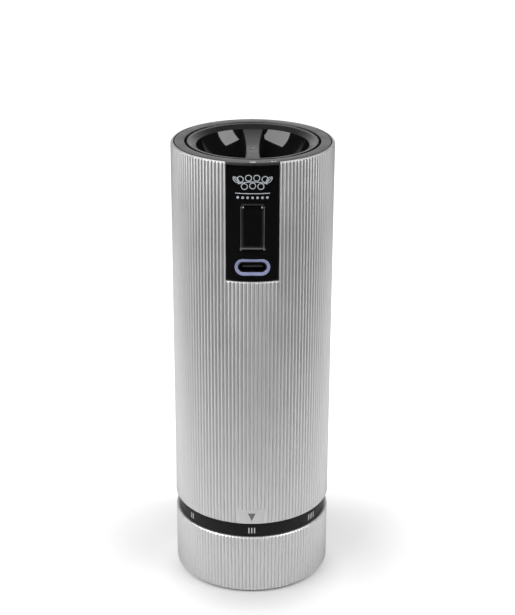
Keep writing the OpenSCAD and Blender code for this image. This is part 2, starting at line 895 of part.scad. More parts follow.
// Key, flange behind the panel, and the plunger that works the switch.
module push_button() {
    flange_y = -(body_r - 1.75);
    key_back_y = flange_y + 0.8;
    stop_y = board_y - 3 - button_travel - 0.1;
    plunger_y = board_y - 1.5 - button_travel;
    color([0.02, 0.02, 0.02])
        union() {
            intersection() {
                tube(panel_r - 0.1, body_r - 3, button_z - 10, button_z + 10);
                translate([0, 0, button_z])
                    rounded_bar(button_w, button_h, 0.6, -body_r, key_back_y);
            }
            translate([0, 0, button_z])
                rounded_bar(button_w + 1.1, button_h + 1.1, 0.8, flange_y, key_back_y);
            translate([0, stop_y, switch_z])
                rotate([90, 0, 0])
                    cylinder(r = 1.5, h = stop_y - key_back_y + 0.2, $fn = 32);
            translate([0, plunger_y, switch_z])
                rotate([90, 0, 0])
                    cylinder(r = 1.05, h = plunger_y - stop_y + 0.2, $fn = 32);
        }
}

// ---------------------------------------------------------------- motor block: power

module battery_cells() {
    color("steelblue")
        for (s = [-1, 1])
            translate([s * cell_x, 0, block_floor_z + 0.4]) {
                cylinder(r = cell_r, h = cell_h - 1);
                cylinder(r = 1.8, h = cell_h, $fn = 32);
            }
}

// Nickel strips welded to the ends of the cells.
module cell_tabs() {
    color("silver")
        for (s = [-1, 1]) {
            translate([s * cell_x - 1.5, -4, block_floor_z + 0.4 + cell_h + 0.02])
                cube([3, 6, 0.15]);
            translate([s * cell_x - 1.5, -4, block_floor_z + 0.22])
                cube([3, 8, 0.15]);
        }
}

// Wire route from a terminal to the back of the board: straight ends and a smooth bend between.
function lead_path(from, to) =
    let (n = 12, over = [0, 0, 1.2], back = [0, 2.4, 0])
        [for (i = [0 : n])
            let (t = i / n, u = 1 - t)
                u * u * u * from + 3 * u * u * t * (from + over)
                + 3 * u * t * t * (to + back) + t * t * t * to];
lead_r = 0.45;
board_back_y = board_y + board_t + 0.1;
module leads(side, drop) {
    sweep(lead_path([side * cell_x - side * 2.4, -4.2, cover_z - 1],
                    [side * 5.6, board_back_y, board_top_z - 1.8 - drop]),
          lead_r, 8, [[0.3, 0.2, 1]]);
    sweep(lead_path([side * 4.5, -5, motor_z + motor_h + 2.1],
                    [side * 3.4, board_back_y, board_top_z - 1.4 - drop]),
          lead_r, 8, [[1, 0, 0.1]]);
}

module red_leads() {
    color("firebrick")
        leads(-1, 0);
}

module black_leads() {
    color([0.1, 0.1, 0.1])
        leads(1, 0);
}

// ---------------------------------------------------------------- gearbox

// Housing with the toothed annulus that both stages share.
module gearbox_case() {
    hub_r = 4.2;
    color("whitesmoke")
        difference() {
            union() {
                translate([0, 0, block_floor_z + 0.02])
                    cylinder(r = gearbox_r, h = gearbox_top_z - block_floor_z - 0.02);
                translate([0, 0, block_floor_z + 0.02])
                    around(side_angles)
                        post(ear_at, gearbox_r - 1, 3);
            }
            translate([0, 0, gearbox_floor_z])
                rotate([0, 0, 90])
                    inner_gear_space(annulus_teeth, gearbox_top_z);
            translate([0, 0, block_floor_z - 1])
                cylinder(r = hub_r + running, h = 4);
            around(side_angles)
                translate([ear_at, 0, block_floor_z - 1])
                    cylinder(r = 0.92, h = 3.6, $fn = 32);
        }
}

module gearbox_screws() {
    color("silver")
        around(side_angles)
            translate([ear_at, 0, block_z + 1.2])
                mirror([0, 0, 1])
                    screw(1.7, 0.9, 0.9, 4.4);
}

module gearbox_cap() {
    color("whitesmoke")
        tube(gearbox_r, 3.2, gearbox_top_z + 0.02, gearbox_top_z + cap_t - 0.02);
}

// A planet carrier: a disc with three pins.
module carrier_disc(z) {
    difference() {
        union() {
            translate([0, 0, z])
                cylinder(r = disc_r, h = disc_t);
            around(side_angles)
                translate([planet_orbit, 0, z])
                    cylinder(r = planet_pin_r, h = disc_t + gear_h + 0.5, $fn = 32);
        }
        // lightening holes between the pins
        around(screw_angles)
            translate([planet_orbit, 0, z - 1])
                cylinder(r = 1.4, h = disc_t + 2, $fn = 32);
    }
}

// Slow carrier, whose hub reaches through the floor and takes the square of the drive shaft.
module output_carrier() {
    hub_bottom_z = block_z - 1.6;
    color("ivory")
        difference() {
            union() {
                carrier_disc(output_disc_z);
                translate([0, 0, hub_bottom_z])
                    cylinder(r = 4.2, h = output_disc_z - hub_bottom_z + 0.5);
            }
            translate([-socket_square / 2, -socket_square / 2, hub_bottom_z - 1])
                cube([socket_square, socket_square, 6]);
        }
}

// Fast carrier, with the sun gear of the lower stage under it.
module upper_carrier() {
    color("ivory")
        union() {
            carrier_disc(upper_disc_z);
            translate([0, 0, lower_gear_z + 0.2])
                rotate([0, 0, 90])
                    outer_gear(sun_teeth, upper_disc_z - lower_gear_z);
        }
}

module planet(angle, z) {
    color("ivory")
        rotate([0, 0, angle])
            translate([planet_orbit, 0, z])
                difference() {
                    outer_gear(planet_teeth, gear_h);
                    translate([0, 0, -1])
                        cylinder(r = planet_pin_r + running, h = gear_h + 2, $fn = 32);
                }
}

// ---------------------------------------------------------------- motor

module motor_can() {
    color("silver")
        difference() {
            union() {
                translate([0, 0, motor_z])
                    cylinder(r = motor_r, h = motor_h);
                translate([0, 0, motor_z - 1])
                    cylinder(r = 3.1, h = 1.5);
            }
            translate([0, 0, motor_z + 1])
                cylinder(r = motor_r - 0.9, h = motor_h);
            translate([0, 0, motor_z - 2])
                cylinder(r = motor_shaft_r + running, h = 4);
        }
}

module motor_magnets() {
    color("dimgray")
        around([0, 180])
            arc_block(motor_r - 2.4, motor_r - 0.95, -60, 60, motor_z + 3, motor_z + 18);
}

module motor_end_cap() {
    color([0.15, 0.15, 0.15])
        difference() {
            union() {
                translate([0, 0, motor_z + motor_h + 0.02])
                    cylinder(r = motor_r, h = 1.6);
                translate([0, 0, motor_z + motor_h - 1])
                    cylinder(r = motor_r - 0.95, h = 2);
            }
            translate([0, 0, motor_z + motor_h - 2])
                cylinder(r = motor_shaft_r + running, h = 3);
        }
}

// Shaft, three-pole core and commutator, which turn in the can.
module motor_rotor() {
    color("peru")
        union() {
            translate([0, 0, upper_gear_z + 0.1])
                cylinder(r = motor_shaft_r, h = motor_z + motor_h + 0.8 - upper_gear_z - 0.1, $fn = 32);
            difference() {
                translate([0, 0, motor_z + 4])
                    cylinder(r = motor_r - 2.8, h = 13);
                around(side_angles)
                    translate([3.2, -1, motor_z + 3])
                        cube([8, 2, 15]);
            }
            translate([0, 0, motor_z + 17])
                cylinder(r = 2.6, h = 3.6);
        }
}

module motor_pinion() {
    color("goldenrod")
        difference() {
            translate([0, 0, upper_gear_z + 0.1])
                rotate([0, 0, 90])
                    outer_gear(sun_teeth, gear_h);
            translate([0, 0, upper_gear_z - 1])
                cylinder(r = motor_shaft_r + 0.01, h = gear_h + 3, $fn = 32);
        }
}

// ---------------------------------------------------------------- grip

// The round grip: a bowl with a waisted fin across it from front to back. The side of the bowl
// is part of an ellipse, and leans out by bowl_slant of its quarter turn at the edge.
bowl_r = grip_r - 3.3;
bowl_edge_z = mill_h - 1.3;
bowl_slant = 14;
function bowl_curve(steps = 10) = [
    for (i = [0 : steps])
        let (t = bowl_slant + (90 - bowl_slant) * i / steps)
            [bowl_r * cos(t) / cos(bowl_slant),
             bowl_edge_z - (hollow_depth - 1.3) * (sin(t) - sin(bowl_slant)) / (1 - sin(bowl_slant))]
];
module twist_grip() {
    fin_len = 2 * (bowl_r + 1);
    sag = (fin_end_w - fin_mid_w) / 2;
    waist_r = (pow(fin_len / 2, 2) + sag * sag) / (2 * sag);
    fin_top_z = mill_h - 1.1;
    fin_reach = bowl_r + 0.6;
    saddle_r = (fin_reach * fin_reach + fin_sag * fin_sag) / (2 * fin_sag);
    color([0.2, 0.2, 0.2])
        difference() {
            union() {
                rotate_extrude()
                    polygon(concat(
                        [[0, grip_bottom_z], [grip_r - 2.5, grip_bottom_z],
                         [grip_r, grip_bottom_z + 1.5], [grip_r, mill_h - 0.5],
                         [grip_r - 0.35, mill_h - 0.2], [grip_r - 1.4, mill_h - 0.2]],
                        bowl_curve()
                    ));
                intersection() {
                    difference() {
                        translate([0, 0, grip_bottom_z + 1])
                            cylinder(r = fin_reach, h = fin_top_z - grip_bottom_z - 1);
                        translate([0, 0, fin_top_z - fin_sag + saddle_r])
                            rotate([0, 90, 0])
                                cylinder(r = saddle_r, h = 2 * body_r, center = true, $fn = 240);
                    }
                    translate([0, 0, grip_bottom_z + 1])
                        linear_extrude(20)
                            difference() {
                                square([fin_end_w, fin_len], center = true);
                                for (s = [-1, 1])
                                    translate([s * (fin_mid_w / 2 + waist_r), 0])
                                        circle(r = waist_r, $fn = 200);
                            }
                }
            }
            around(lug_angles)
                arc_block(grip_r - 1.3, grip_r + 1, -lug_half_angle, lug_half_angle,
                          lug_z, lug_z + lug_h);
        }
}

// Lugs fixed in the grip through the windows of the top ring.
module lock_lugs() {
    color("gray")
        around(lug_angles)
            arc_block(grip_r - 1.25, liner_r - 0.4, -lug_half_angle + 0.1, lug_half_angle - 0.1,
                      lug_z + 0.02, lug_z + lug_h - 0.02);
}

// ---------------------------------------------------------------- assembly

body_sleeve();
pointer_mark();
lock_collar();
pepper_tank();
grinder_housing();
bearing_bridge();
shaft_bush();
base_retainer();
retainer_screws();
detent_spring();
base_sleeve();
base_core();
index_ring();
grind_marks();
foot_ring();
burr_carrier();
burr_ring();
carrier_pins();
drive_shaft();
shaft_clip();
burr_cone();
burr_spring();
burr_nut();
motor_block_case();
seal_ring();
inner_cover();
cover_screws();
top_ring();
ring_marks();
control_panel();
panel_emblem();
charge_light_ring();
circuit_board();
board_chips();
button_switch();
charge_port_shell();
charge_port_tongue();
push_button();
battery_cells();
cell_tabs();
red_leads();
black_leads();
gearbox_case();
gearbox_screws();
gearbox_cap();
motor_can();
motor_magnets();
motor_end_cap();
twist_grip();
lock_lugs();
motor_rotor();
motor_pinion();
upper_carrier();
planet(side_angles[0], upper_gear_z);  // upper_planet_a
planet(side_angles[1], upper_gear_z);  // upper_planet_b
planet(side_angles[2], upper_gear_z);  // upper_planet_c
planet(side_angles[0], lower_gear_z);  // lower_planet_a
planet(side_angles[1], lower_gear_z);  // lower_planet_b
planet(side_angles[2], lower_gear_z);  // lower_planet_c
output_carrier();
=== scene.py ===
import json
import math

import bmesh
import bpy
from mathutils import Matrix, Vector


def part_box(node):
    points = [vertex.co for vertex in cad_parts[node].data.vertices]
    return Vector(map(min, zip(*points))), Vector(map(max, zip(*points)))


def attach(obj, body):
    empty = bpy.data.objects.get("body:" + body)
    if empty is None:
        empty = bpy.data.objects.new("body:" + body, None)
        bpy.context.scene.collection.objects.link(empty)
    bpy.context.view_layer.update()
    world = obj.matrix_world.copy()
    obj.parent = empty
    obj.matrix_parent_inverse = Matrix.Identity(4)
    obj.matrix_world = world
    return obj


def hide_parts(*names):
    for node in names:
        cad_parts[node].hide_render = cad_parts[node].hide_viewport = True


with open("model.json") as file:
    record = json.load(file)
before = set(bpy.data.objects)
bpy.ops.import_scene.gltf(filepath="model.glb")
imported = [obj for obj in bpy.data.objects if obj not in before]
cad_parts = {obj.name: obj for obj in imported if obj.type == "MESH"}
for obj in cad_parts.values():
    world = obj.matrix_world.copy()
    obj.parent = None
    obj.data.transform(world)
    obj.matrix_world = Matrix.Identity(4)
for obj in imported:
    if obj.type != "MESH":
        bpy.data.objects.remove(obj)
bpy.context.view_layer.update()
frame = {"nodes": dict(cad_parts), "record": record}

MM = 0.001


# ---------------------------------------------------------------- studio
# A white table under a white tent. A large soft light stands on either side of the mill, higher
# than its rim, and a third hangs above it. The camera looks down at the panel.

camera_place = Vector((0, -467, 281.4)) * MM
camera_lens = 89.4
camera_pitch = math.radians(21.976)
camera_yaw = math.radians(-0.21)
camera_roll = math.radians(0.23)


def place_object(name, data):
    """A new object in the scene, at the origin."""
    made = bpy.data.objects.new(name, data)
    bpy.context.scene.collection.objects.link(made)
    return made


camera_data = bpy.data.cameras.new("camera")
camera_data.lens = camera_lens
camera_data.clip_start = 0.01
camera = place_object("camera", camera_data)
camera.matrix_world = (
    Matrix.Translation(camera_place)
    @ Matrix.Rotation(camera_yaw, 4, "Z")
    @ Matrix.Rotation(math.pi / 2 - camera_pitch, 4, "X")
    @ Matrix.Rotation(camera_roll, 4, "Z")
)
bpy.context.scene.camera = camera
bpy.context.scene.view_settings.view_transform = "Standard"


def add_node(tree, kind, links=(), **settings):
    """A new node with its settings, and a value or a link for each named or numbered input."""
    made = tree.nodes.new(kind)
    for setting, value in settings.items():
        setattr(made, setting, value)
    for name, value in dict(links).items():
        if isinstance(value, bpy.types.NodeSocket):
            tree.links.new(value, made.inputs[name])
        else:
            made.inputs[name].default_value = value
    return made


def softbox(name, place, width, height, radiance, target=(0, 0, 0.1)):
    """A rectangular soft light, aimed at the middle of the mill."""
    data = bpy.data.lights.new(name, "AREA")
    data.shape = "RECTANGLE"
    data.size = width
    data.size_y = height
    data.energy = radiance * math.pi * width * height
    light = place_object(name, data)
    aim = Vector(target) - Vector(place)
    light.matrix_world = Matrix.Translation(place) @ aim.to_track_quat("-Z", "Y").to_matrix().to_4x4()
    return light


softbox("left_light", (-0.77, -0.46, 0.66), 0.95, 0.75, 5.6)
softbox("right_light", (0.79, -0.44, 0.66), 0.62, 0.75, 6.2)
top_light = softbox("top_light", (-0.1, -0.15, 1.3), 1.0, 0.8, 2.4)
top_light.visible_glossy = False

# the tent is bright behind the mill and dim in front of it, but looks white itself. It brightens
# from tent_turns on, which is how far its direction points backwards.
tent_turns = 0.55
tent_front = 0.04
tent_back = 0.98
world = bpy.data.worlds.new("tent")
bpy.context.scene.world = world
world.use_nodes = True
sky = world.node_tree
sky_direction = sky.nodes.new("ShaderNodeTexCoord").outputs["Generated"]
sky_rays = sky.nodes.new("ShaderNodeLightPath").outputs
towards = add_node(sky, "ShaderNodeSeparateXYZ", {0: sky_direction})
tent_light = add_node(sky, "ShaderNodeMapRange", {
    "Value": towards.outputs["Y"], "From Min": tent_turns, "From Max": 1.0,
    "To Min": tent_front, "To Max": tent_back})
tent_seen = add_node(sky, "ShaderNodeMix", {
    "Factor": sky_rays["Is Camera Ray"], "A": tent_light.outputs[0], "B": 1.0})
background = sky.nodes["Background"]
background.inputs["Color"].default_value = (1, 1, 1, 1)
sky.links.new(tent_seen.outputs[0], background.inputs["Strength"])

# the table top is a white disc. What the mill mirrors of it is a painted reflection: brightest a hand's
# width away, dimmer towards the edge of the table, and painted dark in front. Close around the foot,
# painted light that only the camera sees makes it a little brighter than its lamps alone would make it.
floor_r = 1.2
floor_white = 0.5
shine_under = 0.64
shine_near = 1.0
shine_far = 0.15
shine_rises = (0.026, 0.12)
shine_fades = (0.36, 0.6)
dark_reflection_starts = -0.035
dark_reflection_fade = 0.18
dark_reflection_depth = 0.97
painted_light_y = -0.012
near_painted_light = 0.36
near_painted_light_fades = (0.01, 0.034)
far_painted_light = 0.45
far_painted_light_fades = (0.035, 0.1)
floor_mesh = bpy.data.meshes.new("table")
floor_corners = 96
floor_turns = [2 * math.pi * k / floor_corners for k in range(floor_corners)]
floor_rim = [(floor_r * math.cos(a), floor_r * math.sin(a), 0) for a in floor_turns]
floor_mesh.from_pydata(floor_rim, [], [tuple(range(floor_corners))])
floor = place_object("table", floor_mesh)
floor_material = bpy.data.materials.new("white_table")
floor_material.use_nodes = True
floor_nodes = floor_material.node_tree
floor_shader = floor_nodes.nodes["Principled BSDF"]
floor_shader.inputs["Roughness"].default_value = 0.85
floor_shader.inputs["Specular IOR Level"].default_value = 0.2
floor_spot = floor_nodes.nodes.new("ShaderNodeTexCoord").outputs["Object"]
floor_rays = floor_nodes.nodes.new("ShaderNodeLightPath").outputs


def floor_math(operation, a, b=0.0):
    """The result of a sum in the table's material."""
    return add_node(floor_nodes, "ShaderNodeMath", {0: a, 1: b}, operation=operation).outputs[0]


def floor_ramp(value, first, last):
    """A smooth rise from 0 to 1 while the value goes from first to last."""
    return add_node(floor_nodes, "ShaderNodeMapRange", {
        "Value": value, "From Min": first, "From Max": last}, interpolation_type="SMOOTHSTEP").outputs[0]


floor_xyz = add_node(floor_nodes, "ShaderNodeSeparateXYZ", {0: floor_spot}).outputs
floor_far = add_node(
    floor_nodes, "ShaderNodeVectorMath", {0: floor_spot}, operation="LENGTH").outputs["Value"]
# painted shade: the table is painted dark in front of the mill, for glossy rays only
painted_dark_reflection = floor_ramp(floor_xyz["Y"], dark_reflection_starts, dark_reflection_starts - dark_reflection_fade)
shine = floor_math("ADD", shine_under, floor_math(
    "MULTIPLY", floor_ramp(floor_far, *shine_rises), shine_near - shine_under))
shine = floor_math("SUBTRACT", shine, floor_math(
    "MULTIPLY", floor_ramp(floor_far, *shine_fades), shine_near - shine_far))
shine = floor_math("MULTIPLY", shine, floor_math("SUBTRACT", 1.0, floor_math("MULTIPLY", painted_dark_reflection, dark_reflection_depth)))
floor_tone = add_node(floor_nodes, "ShaderNodeMix", {
    "Factor": floor_rays["Is Glossy Ray"], "A": floor_white, "B": shine}).outputs[0]
floor_nodes.links.new(floor_tone, floor_shader.inputs["Base Color"])
# painted light: the table emits light around the foot that only camera rays see, to lift its shadows
from_painted_light = add_node(floor_nodes, "ShaderNodeVectorMath", {
    0: floor_spot, 1: (0, painted_light_y, 0)}, operation="DISTANCE").outputs["Value"]
painted_floor_light = floor_math(
    "ADD", floor_math("MULTIPLY", floor_ramp(from_painted_light, *near_painted_light_fades), near_painted_light),
    floor_math("MULTIPLY", floor_ramp(from_painted_light, *far_painted_light_fades), far_painted_light))
floor_shader.inputs["Emission Color"].default_value = (1, 1, 1, 1)
painted_light_seen = floor_math("MULTIPLY", painted_floor_light, floor_rays["Is Camera Ray"])
floor_nodes.links.new(painted_light_seen, floor_shader.inputs["Emission Strength"])
floor_mesh.materials.append(floor_material)


# ---------------------------------------------------------------- body sleeve
# The outer tube of the mill: extruded aluminium, ribbed all round, turned at both ends, milled
# for the panel's slot and the pointer's smooth patch, then blasted and anodised.

sleeve_low, sleeve_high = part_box("body_sleeve")
panel_low, panel_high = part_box("control_panel")
rim_low, rim_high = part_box("top_ring")
pointer_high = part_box("pointer_mark")[1]
sleeve_r = sleeve_high.x
tube_wall = 1.2 * MM
mouth_wall = 0.85 * MM
mouth_depth = 2.8 * MM
rib_count = 132
rib_depth = 0.4 * MM
rib_segments = 8
tube_chamfer = 0.5 * MM
slot_play = 0.15 * MM
slot_chamfer = 0.45 * MM
patch_width = 8.7 * MM
patch_above_pointer = 1.4 * MM
patch_step = 0.03 * MM
sill_play = 0.2 * MM


def soften(corners, steps=4):
    """An outline whose (x, y, radius) corners are rounded by a short curve each."""
    outline = []
    for i, (x, y, radius) in enumerate(corners):
        corner = Vector((x, y))
        if radius == 0:
            outline.append(corner)
            continue
        before = (Vector(corners[i - 1][:2]) - corner).normalized() * radius
        after = (Vector(corners[(i + 1) % len(corners)][:2]) - corner).normalized() * radius
        for k in range(steps + 1):
            t = k / steps
            outline.append(corner + (1 - t) ** 2 * before + t**2 * after)
    return outline


def new_piece(name, bm, smooth_below=32):
    """An object from a bmesh, with doubles merged, faces outwards and soft faces shaded smooth."""
    bmesh.ops.remove_doubles(bm, verts=bm.verts, dist=0.0005 * MM)
    bmesh.ops.recalc_face_normals(bm, faces=bm.faces)
    mesh = bpy.data.meshes.new(name)
    bm.to_mesh(mesh)
    bm.free()
    piece = place_object(name, mesh)
    shade(piece, smooth_below)
    return piece


def shade(piece, smooth_below):
    """Shades a piece smooth, apart from edges that turn by more than the angle."""
    piece.data.shade_smooth()
    piece.data.set_sharp_from_angle(angle=math.radians(smooth_below))


def lathe(name, outline, segments=256, smooth_below=32):
    """Turns an outline of (radius, height) points about Z. One that starts and ends on the axis
    is closed there, and any other is closed on itself."""
    bm = bmesh.new()
    rings = []
    for r, z in outline:
        spots = 1 if r < 1e-9 else segments
        angles = [2 * math.pi * k / segments for k in range(spots)]
        rings.append([bm.verts.new((r * math.cos(a), r * math.sin(a), z)) for a in angles])
    on_axis = len(rings[0]) == 1
    for i in range(len(rings) - 1 if on_axis else len(rings)):
        low, high = rings[i], rings[(i + 1) % len(rings)]
        for k in range(segments):
            n = (k + 1) % segments
            corners = (low[k % len(low)], low[n % len(low)], high[n % len(high)], high[k % len(high)])
            corners = list(dict.fromkeys(corners))
            if len(corners) > 2:
                bm.faces.new(corners)
    return new_piece(name, bm, smooth_below)


def settle(piece, smooth_below=32):
    """Turns the evaluated object into a plain mesh and drops its modifiers."""
    depsgraph = bpy.context.evaluated_depsgraph_get()
    mesh = bpy.data.meshes.new_from_object(piece.evaluated_get(depsgraph))
    piece.modifiers.clear()
    piece.data = mesh
    shade(piece, smooth_below)
    return piece


def calc(tree, operation, a, b=0.0):
    """The result of a sum in a node tree."""
    return add_node(tree, "ShaderNodeMath", {0: a, 1: b}, operation=operation).outputs[0]


def open_group(name, sizes=(), parts=()):
    """A geometry group that takes a mesh, the named sizes and parts, and a finish."""
    tree = bpy.data.node_groups.new(name, "GeometryNodeTree")
    kinds = {"Geometry": "Geometry"} | dict.fromkeys(sizes, "Float") | dict.fromkeys(parts, "Object")
    for socket, kind in (kinds | {"Finish": "Material"}).items():
        tree.interface.new_socket(socket, in_out="INPUT", socket_type="NodeSocket" + kind)
    tree.interface.new_socket("Geometry", in_out="OUTPUT", socket_type="NodeSocketGeometry")
    return tree, tree.nodes.new("NodeGroupInput").outputs


def close_group(tree, given, shape):
    """Ends a geometry group: the shape is made one real mesh and gets its finish."""
    whole = add_node(tree, "GeometryNodeRealizeInstances", {"Geometry": shape})
    finished = add_node(tree, "GeometryNodeSetMaterial", {
        "Geometry": whole.outputs[0], "Material": given["Finish"]})
    output = tree.nodes.new("NodeGroupOutput")
    tree.links.new(finished.outputs[0], output.inputs[0])
    return tree


def run_group(piece, tree, values):
    """Puts a piece through a geometry group. Each value goes in by the identifier of its socket."""
    modifier = piece.modifiers.new(tree.name, "NODES")
    modifier.node_group = tree
    for item in tree.interface.items_tree:
        if item.in_out == "INPUT" and item.name in values:
            modifier[item.identifier] = values[item.name]
    settle(piece)


def rib_cutter():
    """Presses ribs into the outside of a turned tube, mills the patch flat and cuts the slot."""
    tree, given = open_group("rib_cutter", (
        "Outer Radius", "Rib Count", "Rib Depth", "Patch Width", "Patch Top",
        "Slot Width", "Slot Bottom", "Slot Chamfer"))
    place = tree.nodes.new("GeometryNodeInputPosition").outputs[0]
    x, y, z = add_node(tree, "ShaderNodeSeparateXYZ", {0: place}).outputs
    radius = calc(tree, "SQRT", calc(tree, "ADD", calc(tree, "MULTIPLY", x, x), calc(tree, "MULTIPLY", y, y)))

    # a crest at each whole number of turns, and a parabola from crest to groove
    ribs_per_radian = calc(tree, "DIVIDE", given["Rib Count"], 2 * math.pi)
    turns = calc(tree, "MULTIPLY", calc(tree, "ARCTAN2", y, x), ribs_per_radian)
    across = calc(tree, "SUBTRACT", calc(tree, "FRACT", calc(tree, "ADD", turns, 0.5)), 0.5)
    fall = calc(tree, "MULTIPLY", calc(tree, "MULTIPLY", across, across), 4.0)
    ribbed = calc(tree, "SUBTRACT", given["Outer Radius"], calc(tree, "MULTIPLY", fall, given["Rib Depth"]))

    # the patch lies level with the grooves
    in_front = calc(tree, "LESS_THAN", y, 0.0)
    beside = calc(tree, "ABSOLUTE", x)
    in_patch = calc(tree, "LESS_THAN", beside, calc(tree, "MULTIPLY", given["Patch Width"], 0.5))
    in_patch = calc(tree, "MULTIPLY", in_patch, calc(tree, "LESS_THAN", z, given["Patch Top"]))
    in_patch = calc(tree, "MULTIPLY", in_patch, in_front)
    ribbed = calc(tree, "SUBTRACT", ribbed, calc(tree, "MULTIPLY", in_patch, calc(
        tree, "SUBTRACT", ribbed, calc(tree, "SUBTRACT", given["Outer Radius"], given["Rib Depth"]))))

    # the slot's lower edge is chamfered
    below_slot = calc(tree, "SUBTRACT", given["Slot Bottom"], z)
    on_sill = calc(tree, "LESS_THAN", beside, calc(tree, "MULTIPLY", given["Slot Width"], 0.5))
    on_sill = calc(tree, "MULTIPLY", on_sill, in_front)
    sill_inset = calc(tree, "MAXIMUM", calc(tree, "SUBTRACT", given["Slot Chamfer"], below_slot), 0.0)
    sill_inset = calc(tree, "MULTIPLY", calc(tree, "MINIMUM", sill_inset, given["Slot Chamfer"]), on_sill)
    chamfered = calc(tree, "SUBTRACT", given["Outer Radius"], sill_inset)
    limit = calc(tree, "MINIMUM", ribbed, chamfered)
    pressed = calc(tree, "MINIMUM", radius, limit)
    inward = calc(tree, "DIVIDE", pressed, radius)
    moved = add_node(tree, "ShaderNodeCombineXYZ", {
        0: calc(tree, "MULTIPLY", x, inward), 1: calc(tree, "MULTIPLY", y, inward), 2: z})
    pressed_tube = add_node(tree, "GeometryNodeSetPosition", {
        "Geometry": given["Geometry"], "Position": moved.outputs[0]})

    # the slot is cut by a box that is tall enough to run out through the top
    box_radii = 4.0
    slot_height = calc(tree, "MULTIPLY", given["Outer Radius"], box_radii)
    box_size = add_node(tree, "ShaderNodeCombineXYZ", {
        0: given["Slot Width"], 1: given["Outer Radius"], 2: slot_height})
    box = add_node(tree, "GeometryNodeMeshCube", {"Size": box_size.outputs[0]})
    box_place = add_node(tree, "ShaderNodeCombineXYZ", {
        1: calc(tree, "MULTIPLY", given["Outer Radius"], -1.0),
        2: calc(tree, "ADD", given["Slot Bottom"], calc(tree, "MULTIPLY", slot_height, 0.5))})
    placed_box = add_node(tree, "GeometryNodeTransform", {
        "Geometry": box.outputs["Mesh"], "Translation": box_place.outputs[0]})
    tube_and_box = {"Mesh 1": pressed_tube.outputs[0], "Mesh 2": placed_box.outputs[0]}
    slotted = add_node(tree, "GeometryNodeMeshBoolean", tube_and_box, operation="DIFFERENCE", solver="EXACT")
    return close_group(tree, given, slotted.outputs["Mesh"])


def surface_tooth():
    """Fine grain for any finish: a height for its bumps, and a slow mottle over the surface."""
    tree = bpy.data.node_groups.new("surface_tooth", "ShaderNodeTree")
    for name, kind in (("Grain Size mm", "NodeSocketFloat"), ("Stretch", "NodeSocketVector"),
                       ("Mottle Size mm", "NodeSocketFloat")):
        tree.interface.new_socket(name, in_out="INPUT", socket_type=kind)
    for name in ("Height", "Mottle"):
        tree.interface.new_socket(name, in_out="OUTPUT", socket_type="NodeSocketFloat")
    given = tree.nodes.new("NodeGroupInput").outputs
    where = tree.nodes.new("ShaderNodeTexCoord").outputs["Object"]
    drawn = add_node(tree, "ShaderNodeVectorMath", {0: where, 1: given["Stretch"]}, operation="MULTIPLY")
    grain = add_node(tree, "ShaderNodeTexNoise", {
        "Vector": drawn.outputs[0], "Scale": calc(tree, "DIVIDE", 1 / MM, given["Grain Size mm"]),
        "Detail": 3.0, "Roughness": 0.6})
    mottle = add_node(tree, "ShaderNodeTexNoise", {
        "Vector": where, "Scale": calc(tree, "DIVIDE", 1 / MM, given["Mottle Size mm"]),
        "Detail": 4.0, "Roughness": 0.55})
    output = tree.nodes.new("NodeGroupOutput")
    tree.links.new(grain.outputs["Fac"], output.inputs["Height"])
    tree.links.new(mottle.outputs["Fac"], output.inputs["Mottle"])
    return tree


tooth_group = surface_tooth()


def finish(name, colour, roughness, grain=0.15, stretch=(1, 1, 1), bump=0.004, mottle=6.0,
           colour_swing=0.06, rough_swing=0.06, **shader_values):
    """A material: its colour and roughness drift with the mottle, and its grain raises small bumps."""
    material = bpy.data.materials.new(name)
    material.use_nodes = True
    tree = material.node_tree
    shader = tree.nodes["Principled BSDF"]
    tooth = add_node(tree, "ShaderNodeGroup", node_tree=tooth_group)
    tooth.inputs["Grain Size mm"].default_value = grain
    tooth.inputs["Stretch"].default_value = stretch
    tooth.inputs["Mottle Size mm"].default_value = mottle
    drift = add_node(tree, "ShaderNodeMapRange", {
        "Value": tooth.outputs["Mottle"], "From Min": 0.3, "From Max": 0.7})
    shades = [tuple(c * (1 + swing) for c in colour) + (1,) for swing in (-colour_swing, colour_swing)]
    colours = add_node(tree, "ShaderNodeMix", {
        "Factor": drift.outputs[0], "A": shades[0], "B": shades[1]}, data_type="RGBA")
    tree.links.new(colours.outputs["Result"], shader.inputs["Base Color"])
    gloss = add_node(tree, "ShaderNodeMapRange", {
        "Value": tooth.outputs["Mottle"], "From Min": 0.3, "From Max": 0.7,
        "To Min": roughness - rough_swing, "To Max": roughness + rough_swing})
    tree.links.new(gloss.outputs[0], shader.inputs["Roughness"])
    relief = add_node(tree, "ShaderNodeBump", {
        "Height": tooth.outputs["Height"], "Distance": bump * MM, "Strength": 1.0})
    tree.links.new(relief.outputs[0], shader.inputs["Normal"])
    for socket, value in shader_values.items():
        shader.inputs[socket.replace("_", " ")].default_value = value
    return material


ribbed_aluminium = finish(
    "ribbed_aluminium", (0.645, 0.647, 0.645), 0.53, grain=0.12, stretch=(1, 1, 0.5), bump=0.0015,
    mottle=9, colour_swing=0.015, rough_swing=0.02, Metallic=1.0)


def tube_outline(outer, bottom, top, marks=(), mouth=None):
    """Cross-section of an aluminium tube: chamfered outside, with extra rings at the heights in marks."""
    steps = 4
    cuts = [tube_chamfer * k / steps for k in range(steps + 1)]
    outside = [(outer - tube_chamfer + cut, bottom + cut) for cut in cuts]
    outside += [(outer, z) for z in sorted(marks)]
    outside += [(outer - cut, top - tube_chamfer + cut) for cut in cuts]
    bore = outer - tube_wall
    if mouth:
        mouth_r = outer - mouth_wall
        return outside + [(mouth_r, top), (mouth_r, top - mouth), (bore, top - mouth), (bore, bottom)]
    return outside + [(bore, top), (bore, bottom)]


